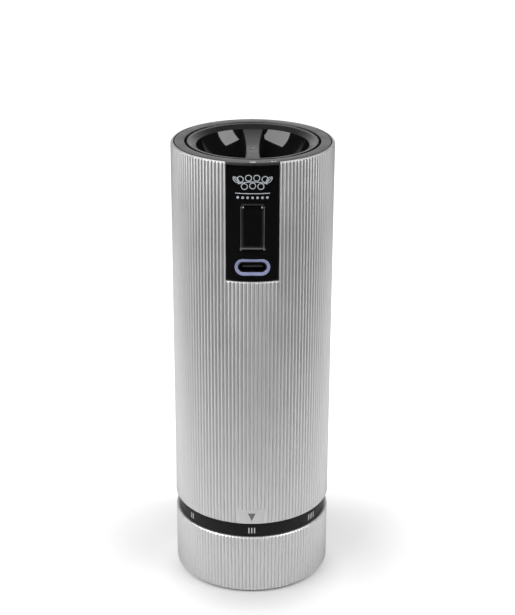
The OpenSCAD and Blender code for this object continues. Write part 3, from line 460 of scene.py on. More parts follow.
slot_width = panel_high.x - panel_low.x + 2 * slot_play
slot_bottom = panel_low.z - sill_play
patch_top = pointer_high.z + patch_above_pointer
sill_rings = [slot_bottom - slot_chamfer * k / 4 for k in range(5)]
patch_rings = [patch_top - patch_step, patch_top + patch_step]
body_sleeve = lathe(
    "body_sleeve_ribbed",
    tube_outline(sleeve_r, sleeve_low.z, sleeve_high.z, sill_rings + patch_rings, mouth_depth),
    segments=rib_count * rib_segments,
)
rib_tree = rib_cutter()
rib_sizes = {
    "Outer Radius": sleeve_r, "Rib Count": float(rib_count), "Rib Depth": rib_depth,
    "Finish": ribbed_aluminium}
run_group(body_sleeve, rib_tree, rib_sizes | {
    "Patch Width": patch_width, "Patch Top": patch_top,
    "Slot Width": slot_width, "Slot Bottom": slot_bottom, "Slot Chamfer": slot_chamfer})
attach(body_sleeve, "mill_body")
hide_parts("body_sleeve")


# ---------------------------------------------------------------- base sleeve
# The short ribbed tube around the base, cut from the same extrusion. Its ribs line up with those
# of the body at each setting of the grind.

base_low, base_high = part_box("base_sleeve")
above_everything = 1.0
base_sleeve = lathe(
    "base_sleeve_ribbed", tube_outline(base_high.x, base_low.z, base_high.z),
    segments=rib_count * rib_segments)
run_group(base_sleeve, rib_tree, rib_sizes | {"Slot Bottom": above_everything})
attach(base_sleeve, "grind_base")
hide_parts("base_sleeve")


# ---------------------------------------------------------------- printed marks
# Pad-printed ink: white strokes of the grind scale, a grey pointer on the metal, small white signs
# on the rim, and the pale grey pepper sprig over its rule and dots at the head of the panel.


def dress(node, material):
    """Gives a node of the frame its finish. Its mesh stays as it is."""
    mesh = frame["nodes"][node].data
    mesh.materials.clear()
    mesh.materials.append(material)


for node, ink, colour, roughness, mottle, swing in (
        ("grind_marks", "scale_ink", (0.5, 0.5, 0.52), 0.55, 0.5, 0.12),
        ("pointer_mark", "pointer_ink", (0.12, 0.12, 0.125), 0.5, 0.6, 0.1),
        ("panel_emblem", "sign_ink", (0.36, 0.39, 0.42), 0.5, 0.8, 0.15),
        ("ring_marks", "rim_ink", (0.6, 0.6, 0.6), 0.5, 0.5, 0.1)):
    dress(node, finish(ink, colour, roughness, grain=0.08, bump=0.002, mottle=mottle, colour_swing=swing))


# ---------------------------------------------------------------- index ring
# The black band of the scale, turned from a moulded ring and left satin.

satin_black = finish(
    "satin_black", (0.006, 0.006, 0.0063), 0.4, grain=0.18, bump=0.003, mottle=5, colour_swing=0.12,
    Specular_IOR_Level=0.14)
band_low, band_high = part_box("index_ring")
band_r = band_high.x
band_bore = 22.6 * MM
index_ring = lathe("index_ring_turned", soften([
    (band_r, band_low.z, 0.1 * MM), (band_r, band_high.z, 0.25 * MM),
    (band_bore, band_high.z, 0.1 * MM), (band_bore, band_low.z, 0.1 * MM)]))
index_ring.data.materials.append(satin_black)
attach(index_ring, "grind_base")
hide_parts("index_ring")


# ---------------------------------------------------------------- control panel
# A glossy black strip, moulded to the curve of the body. The button and the charging port sit in
# holes in it, and a shallow scoop leads the thumb to the button, whose hole has a chamfer. The
# chamfer's lower three sides are satin, painted lighter grey as painted highlight lines.

gloss_black = finish(
    "gloss_black", (0.002, 0.002, 0.0022), 0.06, grain=0.6, bump=0.0003, mottle=4, colour_swing=0.2,
    rough_swing=0.015)
button_low, button_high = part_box("push_button")
ring_low, ring_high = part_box("charge_light_ring")
panel_face_r = -panel_low.y
panel_back_r = 23.25 * MM
button_width = 6.4 * MM
button_height = 13.3 * MM
button_flange = 0.55 * MM
button_z = (button_low.z + button_high.z) / 2
port_z = (ring_low.z + ring_high.z) / 2
hole_play = 0.2 * MM
scoop_width = 9.0 * MM
scoop_height = 15.6 * MM
scoop_depth = 0.15 * MM
scoop_corner = 1.7 * MM
hole_corner = 0.7 * MM
hole_chamfer = 0.26 * MM
flange_room = 1.5 * MM
flange_pocket = -24.3 * MM
port_play = 0.05 * MM
port_corner = 2.75 * MM
past_panel = -30 * MM
behind_panel = -15 * MM


def round_block(name, half_width, front_r, back_r, bottom, top, columns=32, rows=1):
    """A block with flat sides whose front and back follow circles about the axis."""
    bm = bmesh.new()
    xs = [half_width * (2 * k / columns - 1) for k in range(columns + 1)]
    zs = [bottom + (top - bottom) * k / rows for k in range(rows + 1)]
    front, back = [
        [[bm.verts.new((x, -math.sqrt(r * r - x * x), z)) for x in xs] for z in zs]
        for r in (front_r, back_r)]
    for grid in (front, back):
        for i in range(rows):
            for k in range(columns):
                bm.faces.new((grid[i][k], grid[i][k + 1], grid[i + 1][k + 1], grid[i + 1][k]))
    for i in (0, rows):
        for k in range(columns):
            bm.faces.new((front[i][k], front[i][k + 1], back[i][k + 1], back[i][k]))
    for k in (0, columns):
        for i in range(rows):
            bm.faces.new((front[i][k], front[i + 1][k], back[i + 1][k], back[i][k]))
    return new_piece(name, bm)


def pill_points(width, height, corner, steps=8):
    """Points of a rounded rectangle in the XZ plane, centred on the origin."""
    points = []
    for sx, sz, first in ((1, 1, 0), (-1, 1, 90), (-1, -1, 180), (1, -1, 270)):
        for k in range(steps + 1):
            a = math.radians(first + 90 * k / steps)
            points.append((sx * (width / 2 - corner) + corner * math.cos(a),
                           sz * (height / 2 - corner) + corner * math.sin(a)))
    return points


def skin(bm, loops, around=False):
    """Joins loops of vertices by strips of faces. around also joins the last loop to the first."""
    for low, high in zip(loops, loops[1:] + loops[:1] if around else loops[1:]):
        for k in range(len(low)):
            n = (k + 1) % len(low)
            bm.faces.new((low[k], low[n], high[n], high[k]))
    if not around:
        bm.faces.new(loops[0])
        bm.faces.new(loops[-1])


def pill_block(name, width, height, corner, z, front, back):
    """A rounded rectangle along Y from front to back."""
    bm = bmesh.new()
    points = pill_points(width, height, corner)
    skin(bm, [[bm.verts.new((x, y, z + h)) for x, h in points] for y in (front, back)])
    return new_piece(name, bm)


def key_mesh(name, width, height, corner, face_r, edge, dish, z, back):
    """A pad bent round the axis, with a hollow face. edge is its outline towards the face: (distance
    in from the side, depth below the face)."""
    bm = bmesh.new()
    loops = []

    def loop(shrink, scale, depth, flat=None):
        ring = []
        for px, pz in pill_points(width - 2 * shrink, height - 2 * shrink, max(corner - shrink, 0.05 * MM)):
            x, h = px * scale, pz * scale
            y = -math.sqrt(face_r**2 - x * x) + depth if flat is None else flat
            ring.append(bm.verts.new((x, y, z + h)))
        return ring

    loops.append(loop(0, 1, 0, flat=back))
    for shrink, depth in edge:
        loops.append(loop(shrink, 1, depth))
    for scale in (0.9, 0.75, 0.55, 0.3, 0.12):
        loops.append(loop(shrink, scale, depth + dish * (1 - scale * scale)))
    skin(bm, loops)
    return new_piece(name, bm, 50)


def outward(piece):
    """Merges a piece's doubles and points its faces outwards."""
    bm = bmesh.new()
    bm.from_mesh(piece.data)
    bmesh.ops.remove_doubles(bm, verts=bm.verts, dist=0.0005 * MM)
    bmesh.ops.recalc_face_normals(bm, faces=bm.faces)
    bm.to_mesh(piece.data)
    bm.free()


def combine(piece, tool, operation="DIFFERENCE"):
    """Cuts the tool out of the piece, or adds it, and removes the tool."""
    step = piece.modifiers.new("combine", "BOOLEAN")
    step.operation = operation
    step.object = tool
    step.solver = "EXACT"
    settle(piece)
    outward(piece)
    bpy.data.objects.remove(tool)


def ease_edges(piece, width, segments=3, above=35):
    """Rounds the edges whose faces meet at more than the angle above."""
    bevel = piece.modifiers.new("edges", "BEVEL")
    bevel.width = width
    bevel.segments = segments
    bevel.limit_method = "ANGLE"
    bevel.angle_limit = math.radians(above)
    bevel.use_clamp_overlap = True
    even = piece.modifiers.new("even_shading", "WEIGHTED_NORMAL")
    even.keep_sharp = True
    settle(piece)


panel = round_block(
    "control_panel_shell", panel_high.x, panel_face_r, panel_back_r, panel_low.z, panel_high.z, rows=36)
hole_width = button_width + 2 * hole_play
hole_height = button_height + 2 * hole_play
port_width = ring_high.x * 2 + port_play
port_height = ring_high.z - ring_low.z + port_play
for width, height, corner, z, front in (
        (hole_width, hole_height, hole_corner, button_z, past_panel),
        (button_width + flange_room, button_height + flange_room, 0.9 * MM, button_z, flange_pocket),
        (port_width, port_height, port_corner, port_z, past_panel)):
    combine(panel, pill_block("tool", width, height, corner, z, front, behind_panel))
scoop_r = panel_face_r - scoop_depth
combine(panel, key_mesh(
    "tool", scoop_width, scoop_height, scoop_corner, scoop_r, [(0, 0)], 0, button_z, past_panel))
chamfer = [(0, hole_chamfer), (-hole_chamfer, 0), (-2 * hole_chamfer, -hole_chamfer)]
combine(panel, key_mesh(
    "tool", hole_width, hole_height, hole_corner, scoop_r, chamfer, 0, button_z, -24 * MM))
ease_edges(panel, 0.06 * MM, above=50)
# painted highlight: a lighter grey satin that stands in for the lines of light along the hole's edge
painted_hole_highlight = finish(
    "painted_hole_highlight", (0.1, 0.1, 0.102), 0.42, grain=0.2, bump=0.002, mottle=4, colour_swing=0.1)
panel.data.materials.append(gloss_black)
panel.data.materials.append(painted_hole_highlight)
# the painted highlight goes on the chamfer's two sides and bottom; the top side stays glossy black
for face in panel.data.polygons:
    x, y, z = face.center
    past_hole = max(abs(x) - hole_width / 2, button_z - z - hole_height / 2)
    on_chamfer = 0 < past_hole < hole_chamfer + 0.02 * MM and -y > panel_face_r - 0.8 * MM
    if on_chamfer and z < button_z + button_height / 2:
        face.material_index = 1
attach(panel, "motor_block")
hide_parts("control_panel")


# ---------------------------------------------------------------- push button
# One glossy moulding: a key with a slightly hollow face and a painted glint, a pale grey spot, in each
# upper corner, a flange that stops it behind the panel, and the post and plunger that reach the switch.

key_dish = 0.16 * MM
key_edge = 0.5 * MM
key_round = [(key_edge * (1 - math.cos(a)), key_edge * (1 - math.sin(a)))
             for a in [math.radians(90 * k / 5) for k in range(6)]]
key_back = -23.45 * MM
key_sunk = 0.02 * MM
flange_front = -24.2 * MM
post_r = 1.5 * MM
plunger_r = 1.05 * MM
glint_reach = 0.5 * MM


def rod(name, radius, x, z, front, back, segments=32):
    """A round rod along Y."""
    bm = bmesh.new()
    place = Matrix.Translation((x, (front + back) / 2, z)) @ Matrix.Rotation(math.pi / 2, 4, "X")
    bmesh.ops.create_cone(bm, cap_ends=True, segments=segments, radius1=radius, radius2=radius,
                          depth=abs(back - front), matrix=place)
    return new_piece(name, bm)


switch_low, switch_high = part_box("button_switch")
switch_z = (switch_low.z + switch_high.z) / 2
post_end = switch_low.y - 0.6 * MM
button = key_mesh("push_button_key", button_width, button_height, 0.65 * MM, panel_face_r - key_sunk,
                  key_round, key_dish, button_z, key_back)
combine(button, pill_block(
    "tool", button_width + 2 * button_flange, button_height + 2 * button_flange, 0.8 * MM, button_z,
    flange_front, key_back), "UNION")
combine(button, rod("tool", post_r, 0, switch_z, key_back - 0.2 * MM, post_end), "UNION")
combine(button, rod("tool", plunger_r, 0, switch_z, post_end - 0.2 * MM, button_high.y), "UNION")
# painted glint: a pale grey finish on the key's upper corners stands in for reflections of the lights
painted_corner_glint = finish("painted_corner_glint", (0.4, 0.4, 0.41), 0.3, grain=0.2, bump=0.002, mottle=3, colour_swing=0.1)
button.data.materials.append(gloss_black)
button.data.materials.append(painted_corner_glint)
for face in button.data.polygons:
    x, y, z = face.center
    near_corner = min(abs(x) - button_width / 2, z - button_z - button_height / 2) > -glint_reach
    if near_corner and -y > panel_face_r - 0.6 * MM:
        face.material_index = 1
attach(button, "button")
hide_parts("push_button")


# ---------------------------------------------------------------- charging port
# A milky light guide frames the port and glows while the mill is on charge. Inside it sit the
# drawn steel shell and the black tongue that carries the contacts.

light_guide = finish(
    "light_guide", (0.2, 0.22, 0.36), 0.3, grain=0.4, bump=0.002, mottle=3, colour_swing=0.1,
    Emission_Color=(0.5, 0.53, 0.85, 1), Emission_Strength=0.05, Coat_Weight=0.3, Coat_Roughness=0.1)
shell_steel = finish(
    "shell_steel", (0.06, 0.06, 0.062), 0.35, grain=0.1, stretch=(1, 0.1, 1), bump=0.002, mottle=2,
    Metallic=1.0)
tongue_black = finish("tongue_black", (0.02, 0.02, 0.02), 0.5, grain=0.1, bump=0.003, mottle=1)


def pill_tube(name, width, height, section, z, face_r=None, steps=16):
    """A ring shaped as a pill. section is its closed outline: (distance in from the edge, depth),
    the depth counted from the circle face_r, or from y = 0 where there is none."""
    bm = bmesh.new()
    loops = []
    for inset, depth in section:
        w = width - 2 * inset
        h = height - 2 * inset
        ring = []
        for x, dz in pill_points(w, h, h / 2 - 1e-6, steps):
            y = depth if face_r is None else -math.sqrt(face_r**2 - x * x) + depth
            ring.append(bm.verts.new((x, y, z + dz)))
        loops.append(ring)
    skin(bm, loops, around=True)
    return new_piece(name, bm, 40)


ring_wall = 1.0 * MM
ring_depth = ring_high.y - ring_low.y - 0.6 * MM
ring_section = soften([
    (0, 0, 0.12 * MM), (0, ring_depth, 0), (ring_wall, ring_depth, 0), (ring_wall, 0.05 * MM, 0.3 * MM)])
light_ring = pill_tube(
    "charge_light_guide", ring_high.x - ring_low.x, ring_high.z - ring_low.z, ring_section, port_z,
    panel_face_r)
light_ring.data.materials.append(light_guide)
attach(light_ring, "motor_block")
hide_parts("charge_light_ring")

shell_low, shell_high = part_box("charge_port_shell")
shell_wall = 0.3 * MM
shell_width = shell_high.x - shell_low.x
shell_height = shell_high.z - shell_low.z
shell = pill_tube(
    "charge_port_can", shell_width, shell_height,
    soften([(0, shell_low.y, 0.06 * MM), (0, shell_high.y, 0), (shell_wall, shell_high.y, 0),
            (shell_wall, shell_low.y, 0.1 * MM)]), port_z)
combine(shell, pill_block(
    "tool", shell_width - 0.2 * MM, shell_height - 0.2 * MM, 1.45 * MM, port_z, shell_high.y - 0.4 * MM,
    shell_high.y), "UNION")
shell.data.materials.append(shell_steel)
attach(shell, "motor_block")
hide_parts("charge_port_shell")

tongue_low, tongue_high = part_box("charge_port_tongue")
tongue = pill_block("charge_port_tongue_bar", tongue_high.x - tongue_low.x, tongue_high.z - tongue_low.z,
                    0.3 * MM, port_z, tongue_low.y, tongue_high.y)
ease_edges(tongue, 0.08 * MM)
tongue.data.materials.append(tongue_black)
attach(tongue, "motor_block")
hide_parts("charge_port_tongue")


# ---------------------------------------------------------------- top ring
# The wide satin rim of the motor block, with the skirt that the grip turns in. Three windows in
# the skirt let the lugs of the grip through, and a lip at the front covers the panel's top edge.

rim_satin = finish(
    "rim_satin", (0.022, 0.022, 0.0225), 0.33, grain=0.16, bump=0.003, mottle=6, colour_swing=0.1)
lugs_low, lugs_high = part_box("lock_lugs")
rim_outer = 24.8 * MM
rim_bore = 21.45 * MM
skirt_r = 23.2 * MM
rim_drop = 2.8 * MM
rim_relief = 0.2 * MM
tab_reach = 1.1 * MM
tab_height = 0.75 * MM
lug_angles = (75, 195, 315)
lug_half_angle = 5
lock_angle = next(
    joint["range_deg"][1] for joint in frame["record"]["behaviour"]["joints"] if joint["name"] == "grip_turn")
window_play = 1.5
window_gap = 0.4 * MM


def arc_tool(name, inner, outer, first, last, bottom, top, steps=24):
    """A stretch of tube between two angles in degrees."""
    bm = bmesh.new()
    loops = []
    for k in range(steps + 1):
        a = math.radians(first + (last - first) * k / steps)
        section = ((inner, bottom), (outer, bottom), (outer, top), (inner, top))
        loops.append([bm.verts.new((r * math.cos(a), r * math.sin(a), z)) for r, z in section])
    skin(bm, loops)
    return new_piece(name, bm)


rim_seat = rim_high.z - rim_drop
top_ring = lathe("top_ring_moulded", soften([
    (rim_outer, rim_seat, 0), (rim_outer, rim_high.z, 0.25 * MM),
    (rim_bore + rim_relief, rim_high.z, 0.25 * MM), (rim_bore + rim_relief, rim_seat, 0),
    (rim_bore, rim_seat, 0), (rim_bore, rim_low.z, 0.2 * MM),
    (skirt_r, rim_low.z, 0.2 * MM), (skirt_r, rim_seat, 0)]))
tab = round_block(
    "tool", panel_high.x, rim_outer + tab_reach, rim_bore + 1 * MM, rim_high.z - tab_height, rim_high.z)
ease_edges(tab, 0.16 * MM)
combine(top_ring, tab, "UNION")
for angle in lug_angles:
    combine(top_ring, arc_tool(
        "tool", rim_bore - 1 * MM, skirt_r + 0.5 * MM, angle - lug_half_angle - window_play,
        angle + lock_angle + lug_half_angle + window_play, lugs_low.z - window_gap, lugs_high.z + window_gap))
combine(top_ring, pill_block(
    "tool", button_width + 1.6 * MM, button_height + 2 * MM, 0.2 * MM, button_z, past_panel, -18 * MM))
top_ring.data.materials.append(rim_satin)
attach(top_ring, "motor_block")
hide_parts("top_ring")


# ---------------------------------------------------------------- twist grip
# A deep round bowl with a waisted fin across it, moulded in one. The bowl is polished, the lip and
# the top of the fin are satin, the fin's flanks are matt, and its top bears the mark of the gate.

grip_low, grip_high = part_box("twist_grip")
grip_r = grip_high.x
bowl_r = grip_r - 3.3 * MM
bowl_top = grip_high.z - 1.1 * MM
bowl_floor = rim_high.z - 12.4 * MM
bowl_slant = 14
lip_step = 0.45 * MM
lip_width = 1.35 * MM
lip_foot = grip_high.z - 3 * MM
lip_high = rim_high.z - 0.06 * MM
lip_satin = finish(
    "lip_satin", (0.013, 0.013, 0.0135), 0.28, grain=0.2, bump=0.002, mottle=6, colour_swing=0.1)
bowl_gloss = finish(
    "bowl_gloss", (0.003, 0.003, 0.0033), 0.06, grain=0.8, bump=0.0006, mottle=5, colour_swing=0.2,
    rough_swing=0.015)
flank_matt = finish(
    "flank_matt", (0.003, 0.003, 0.0033), 0.55, grain=0.3, bump=0.002, mottle=5, colour_swing=0.2,
    Specular_IOR_Level=0.15)
gate_scar = finish(
    "gate_scar", (0.1, 0.1, 0.102), 0.3, grain=0.2, bump=0.002, mottle=3, colour_swing=0.1)


def bowl_point(t):
    """A point down the side of the bowl, t = 0 at its edge and 1 at its middle: part of an ellipse."""
    first = math.radians(bowl_slant)
    a = first + (math.pi / 2 - first) * t
    deep = (bowl_top - bowl_floor) / (1 - math.sin(first))
    across = bowl_r / math.cos(first)
    return (across * math.cos(a) if t < 1 else 0.0, bowl_top - deep * (math.sin(a) - math.sin(first)))


bowl_steps = 28
outer_corners = soften([
    (grip_r - 2.5 * MM, grip_low.z, 0.3 * MM), (grip_r, grip_low.z + 1.5 * MM, 0.6 * MM),
    (grip_r, lip_foot, 0.2 * MM), (grip_r - lip_step, lip_foot, 0),
    (grip_r - lip_step, lip_high, 0.16 * MM), (grip_r - lip_width, lip_high, 0.5 * MM),
    (bowl_r, bowl_top, 0)], steps=5)
grip_outline = [(0, grip_low.z)] + [tuple(p) for p in outer_corners] + [
    bowl_point(k / bowl_steps) for k in range(1, bowl_steps + 1)]
grip = lathe("twist_grip_bowl", grip_outline, smooth_below=40)
grip_looks = (bowl_gloss, lip_satin, flank_matt, gate_scar)
for look in grip_looks:
    grip.data.materials.append(look)
for face in grip.data.polygons:
    face.material_index = 1 if face.center.z > bowl_top + 0.02 * MM and face.normal.z > 0.3 else 0

fin_end = 7.2 * MM
fin_middle = 4.4 * MM
fin_length = bowl_r + 0.6 * MM
fin_top = bowl_top + 0.2 * MM
fin_sag = 2.2 * MM
fin_waist = 2.6
fin_root = 0.5 * MM
fin_draft = 0.1 * MM
gate_r = 1.1 * MM
gate_lip = 0.1 * MM
gate_y = 2.2 * MM


def fin_mesh(name, columns=28, edge=0.45 * MM):
    """The fin: hourglass in plan, its top edges rounded."""
    bm = bmesh.new()
    rows = []
    for k in range(columns + 1):
        y = fin_length * (2 * k / columns - 1)
        share = abs(y / fin_length) ** fin_waist
        half = (fin_middle + (fin_end - fin_middle) * share) / 2
        top = fin_top - fin_sag * (1 - (y / fin_length) ** 2)
        side = [(half + fin_root, grip_low.z + 1 * MM), (half + fin_draft, bowl_floor + 3 * MM),
                (half, top - edge)]
        side += [(half - edge * (1 - math.cos(a)), top - edge * (1 - math.sin(a)))
                 for a in [math.radians(90 * s / 4) for s in range(1, 5)]]
        outline = side + [(-x, z) for x, z in reversed(side)]
        rows.append([bm.verts.new((x, y, z)) for x, z in outline])
    skin(bm, rows)
    return new_piece(name, bm, 40)


fin = fin_mesh("tool")
for look in grip_looks:
    fin.data.materials.append(look)
for face in fin.data.polygons:
    face.material_index = 1 if face.normal.z > 0.5 else 2
combine(grip, fin, "UNION")
gate_z = fin_top - fin_sag * (1 - (gate_y / fin_length) ** 2)
gate_bead = [
    (gate_r - gate_lip * (1 - math.cos(a)), gate_z + gate_lip * math.sin(a))
    for a in [math.pi * k / 8 for k in range(9)]]
gate = lathe(
    "tool", [(0, gate_z - 1 * MM), (gate_r, gate_z - 1 * MM)] + gate_bead + [(0, gate_z + 0.02 * MM)],
    segments=48)
gate.data.transform(Matrix.Translation((0, gate_y, 0)))
for look in grip_looks:
    gate.data.materials.append(look)
for face in gate.data.polygons:
    face.material_index = 3
combine(grip, gate, "UNION")
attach(grip, "grip")
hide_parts("twist_grip")


# ---------------------------------------------------------------- lock collar and grinder housing
# Two black mouldings glued into the ends of the body: the collar with its bayonet slots at the top,
# and the funnel with the neck that the base turns on. Both keep a fine moulded texture.

moulded_black = finish(
    "moulded_black", (0.018, 0.018, 0.019), 0.42, grain=0.2, bump=0.004, mottle=5, colour_swing=0.12)
dress("lock_collar", moulded_black)
dress("grinder_housing", moulded_black)


# ---------------------------------------------------------------- pepper tank
# A clear moulded tube on the funnel, blasted lightly inside the mould so that it looks frosted. Its
# rims are rounded, and the upper one is the seat of the seal.

clear_tank = finish(
    "frosted_clear", (0.82, 0.84, 0.84), 0.22, grain=0.3, bump=0.002, mottle=8, colour_swing=0.02,
    Transmission_Weight=0.8, IOR=1.49)
tank_low, tank_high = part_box("pepper_tank")
tank_bore = tank_high.x - 1.35 * MM
tank = lathe("pepper_tank_tube", soften([
    (tank_high.x, tank_low.z, 0.2 * MM), (tank_high.x, tank_high.z, 0.4 * MM),
    (tank_bore, tank_high.z, 0.4 * MM), (tank_bore, tank_low.z, 0.2 * MM)]), segments=192)
tank.data.materials.append(clear_tank)
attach(tank, "mill_body")
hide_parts("pepper_tank")


# ---------------------------------------------------------------- bearing bridge and bush
# The three-armed spider is moulded like the housing it stands in. The bush pressed into it is
# sintered bronze, oiled, with open pores.

bush_bronze = finish(
    "bush_bronze", (0.42, 0.27, 0.12), 0.48, grain=0.09, bump=0.008, mottle=1, colour_swing=0.2, Metallic=1.0)
dress("bearing_bridge", moulded_black)
dress("shaft_bush", bush_bronze)


# ---------------------------------------------------------------- base retainer and its screws
# The moulded ring that keeps the base on its neck is held by three small cheese-head screws, driven
# from below. The screws of the whole mill are rolled and bright, with a cross recess.

bright_steel = finish(
    "bright_steel", (0.56, 0.56, 0.57), 0.24, grain=0.1, bump=0.0015, mottle=2, colour_swing=0.06,
    Metallic=1.0)
dress("base_retainer", moulded_black)
thread_pitch = 0.5 * MM
thread_core = 0.82
retainer_screw_head = 1.05 * MM
retainer_screw_angles = (30, 150, 270)


def screw_blank(head_r, head_h, shank_r, shank_length, up):
    """One screw on the axis, its head from z = 0 towards up, with ringed threads and a cross recess."""
    thread = []
    turns = int(shank_length / thread_pitch) - 1
    for k in range(turns):
        z = -shank_length + 0.4 * MM + k * thread_pitch
        crest = z + thread_pitch / 2
        flat = thread_pitch * 0.05
        thread += [(shank_r * thread_core, z), (shank_r, crest - flat), (shank_r, crest + flat)]
    head = [(head_r, 0), (head_r, head_h * 0.7)]
    head += [(head_r - head_h * 0.3 * (1 - math.cos(a)), head_h * (0.7 + 0.3 * math.sin(a)))
             for a in [math.radians(30 * k) for k in range(1, 4)]]
    tip = [(0, -shank_length), (shank_r * 0.5, -shank_length)]
    outline = tip + thread + [(shank_r, 0)] + head + [(0, head_h)]
    blank = lathe("screw_blank", [(r, up * z) for r, z in outline], segments=32)
    for turn in (0, math.pi / 2):
        blade = pill_block("tool", head_r * 1.2, head_h * 1.2, 0.05 * MM, 0, -0.2 * MM, 0.2 * MM)
        blade.data.transform(Matrix.Rotation(turn, 4, "Z") @ Matrix.Translation((0, 0, up * head_h * 1.1)))
        combine(blank, blade)
    return blank


def spread_tree():
    """Sets a copy of a part on each point of a mesh, turned to face away from the axis."""
    tree, given = open_group("spread_round", parts=["Part"])
    place = tree.nodes.new("GeometryNodeInputPosition").outputs[0]
    x, y, z = add_node(tree, "ShaderNodeSeparateXYZ", {0: place}).outputs
    heading = add_node(tree, "ShaderNodeCombineXYZ", {"Z": calc(tree, "ARCTAN2", y, x)})
    turned = add_node(tree, "FunctionNodeEulerToRotation", {0: heading.outputs[0]})
    part = add_node(tree, "GeometryNodeObjectInfo", {"Object": given["Part"]})
    copies = add_node(tree, "GeometryNodeInstanceOnPoints", {
        "Points": given["Geometry"], "Instance": part.outputs["Geometry"], "Rotation": turned.outputs[0]})
    return close_group(tree, given, copies.outputs[0])


spread = spread_tree()


def set_round(name, part, places, material):
    """A piece made of copies of a part at (angle in degrees, distance from the axis, height)."""
    mesh = bpy.data.meshes.new(name)
    mesh.from_pydata(
        [(r * math.cos(math.radians(a)), r * math.sin(math.radians(a)), z) for a, r, z in places], [], [])
    piece = place_object(name, mesh)
    run_group(piece, spread, {"Part": part, "Finish": material})
    bpy.data.objects.remove(part)
    return piece


screws_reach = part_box("retainer_screws")[1].y - retainer_screw_head
screw_circle = screws_reach / math.sin(math.radians(retainer_screw_angles[0]))
retainer_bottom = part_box("base_retainer")[0].z
retainer_screws = set_round(
    "retainer_screws_threaded", screw_blank(retainer_screw_head, 0.9 * MM, 0.6 * MM, 6 * MM, -1),
    [(a, screw_circle, retainer_bottom) for a in retainer_screw_angles], bright_steel)
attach(retainer_screws, "mill_body")
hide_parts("retainer_screws")


# ---------------------------------------------------------------- detent spring
# A bent leaf of hardened strip with a faint blue tint. It clicks into the notches of the base.

spring_strip = finish(
    "spring_strip", (0.4, 0.4, 0.43), 0.3, grain=0.12, stretch=(1, 1, 0.2), bump=0.0015, mottle=2,
    colour_swing=0.12, Metallic=1.0)
dress("detent_spring", spring_strip)


# ---------------------------------------------------------------- base core and foot ring
# The base core is a black moulding inside the ribbed sleeve. The foot ring is soft rubber, plugged
# into its underside, with rounded edges and a dull, slightly dusty skin.

foot_rubber = finish(
    "foot_rubber", (0.02, 0.02, 0.0205), 0.72, grain=0.12, bump=0.005, mottle=2, colour_swing=0.25)
dress("base_core", moulded_black)
foot_low, foot_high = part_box("foot_ring")
foot_r = foot_high.x
foot_bore = foot_r - 4.9 * MM
plug_outer = foot_r - 1.35 * MM
plug_inner = foot_r - 2.6 * MM
foot_outer_top = foot_low.z + 1.45 * MM
foot_inner_top = foot_low.z + 1.5 * MM
foot_ring = lathe("foot_ring_moulded", soften([
    (foot_bore, foot_low.z, 0.5 * MM), (foot_r, foot_low.z, 0.5 * MM), (foot_r, foot_outer_top, 0.2 * MM),
    (plug_outer, foot_outer_top, 0.1 * MM), (plug_outer, foot_high.z, 0.3 * MM),
    (plug_inner, foot_high.z, 0.3 * MM), (plug_inner, foot_inner_top, 0.1 * MM),
    (foot_bore, foot_inner_top, 0.2 * MM)]), segments=192)
foot_ring.data.materials.append(foot_rubber)
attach(foot_ring, "grind_base")
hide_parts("foot_ring")


# ---------------------------------------------------------------- burrs and their carrier
# The cone and the ring are sintered steel, hardened, and their teeth are ground, which leaves a dark
# drawn grain. The moulded carrier holds the ring, and three bright pins lead it up and down.

burr_steel = finish(
    "burr_steel", (0.27, 0.27, 0.28), 0.36, grain=0.14, stretch=(1, 1, 0.25), bump=0.005, mottle=1.2,
    colour_swing=0.18, Metallic=1.0)
dress("burr_cone", burr_steel)
dress("burr_ring", burr_steel)
dress("burr_carrier", moulded_black)
dress("carrier_pins", bright_steel)


# ---------------------------------------------------------------- drive shaft, clip and nut
# The shaft is turned and its ends are milled square. A punched clip takes the pull of the spring,
# and the flanged nut under the cone is plated.

turned_steel = finish(
    "turned_steel", (0.5, 0.5, 0.51), 0.3, grain=0.15, stretch=(0.3, 0.3, 3), bump=0.002, mottle=3,
    colour_swing=0.06, Metallic=1.0)
dress("drive_shaft", turned_steel)
dress("shaft_clip", spring_strip)
dress("burr_nut", bright_steel)


# ---------------------------------------------------------------- burr spring
# An open coil of round spring wire between the bush and the cone, which holds the cone down.

coil_low, coil_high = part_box("burr_spring")
coil_r = 3.4 * MM
wire_r = 0.35 * MM
coil_turns = 2.6
coil_play = 0.05 * wire_r


def sweep_round(tree, given, route):
    """A round section of the given Wire Radius, swept along a curve."""
    section = add_node(tree, "GeometryNodeCurvePrimitiveCircle", {
        "Resolution": 16, "Radius": given["Wire Radius"]})
    wire = add_node(tree, "GeometryNodeCurveToMesh", {
        "Curve": route, "Profile Curve": section.outputs[0], "Fill Caps": True})
    return wire.outputs[0]


def coil_tree():
    """A round wire wound about Z, starting at the height Bottom."""
    tree, given = open_group("coil", ["Coil Radius", "Turns", "Rise", "Bottom", "Wire Radius"])
    spiral = add_node(tree, "GeometryNodeCurveSpiral", {
        "Resolution": 48, "Rotations": given["Turns"], "Start Radius": given["Coil Radius"],
        "End Radius": given["Coil Radius"], "Height": given["Rise"], "Reverse": True})
    lift = add_node(tree, "ShaderNodeCombineXYZ", {2: given["Bottom"]})
    raised = add_node(tree, "GeometryNodeTransform", {
        "Geometry": spiral.outputs[0], "Translation": lift.outputs[0]})
    return close_group(tree, given, sweep_round(tree, given, raised.outputs[0]))


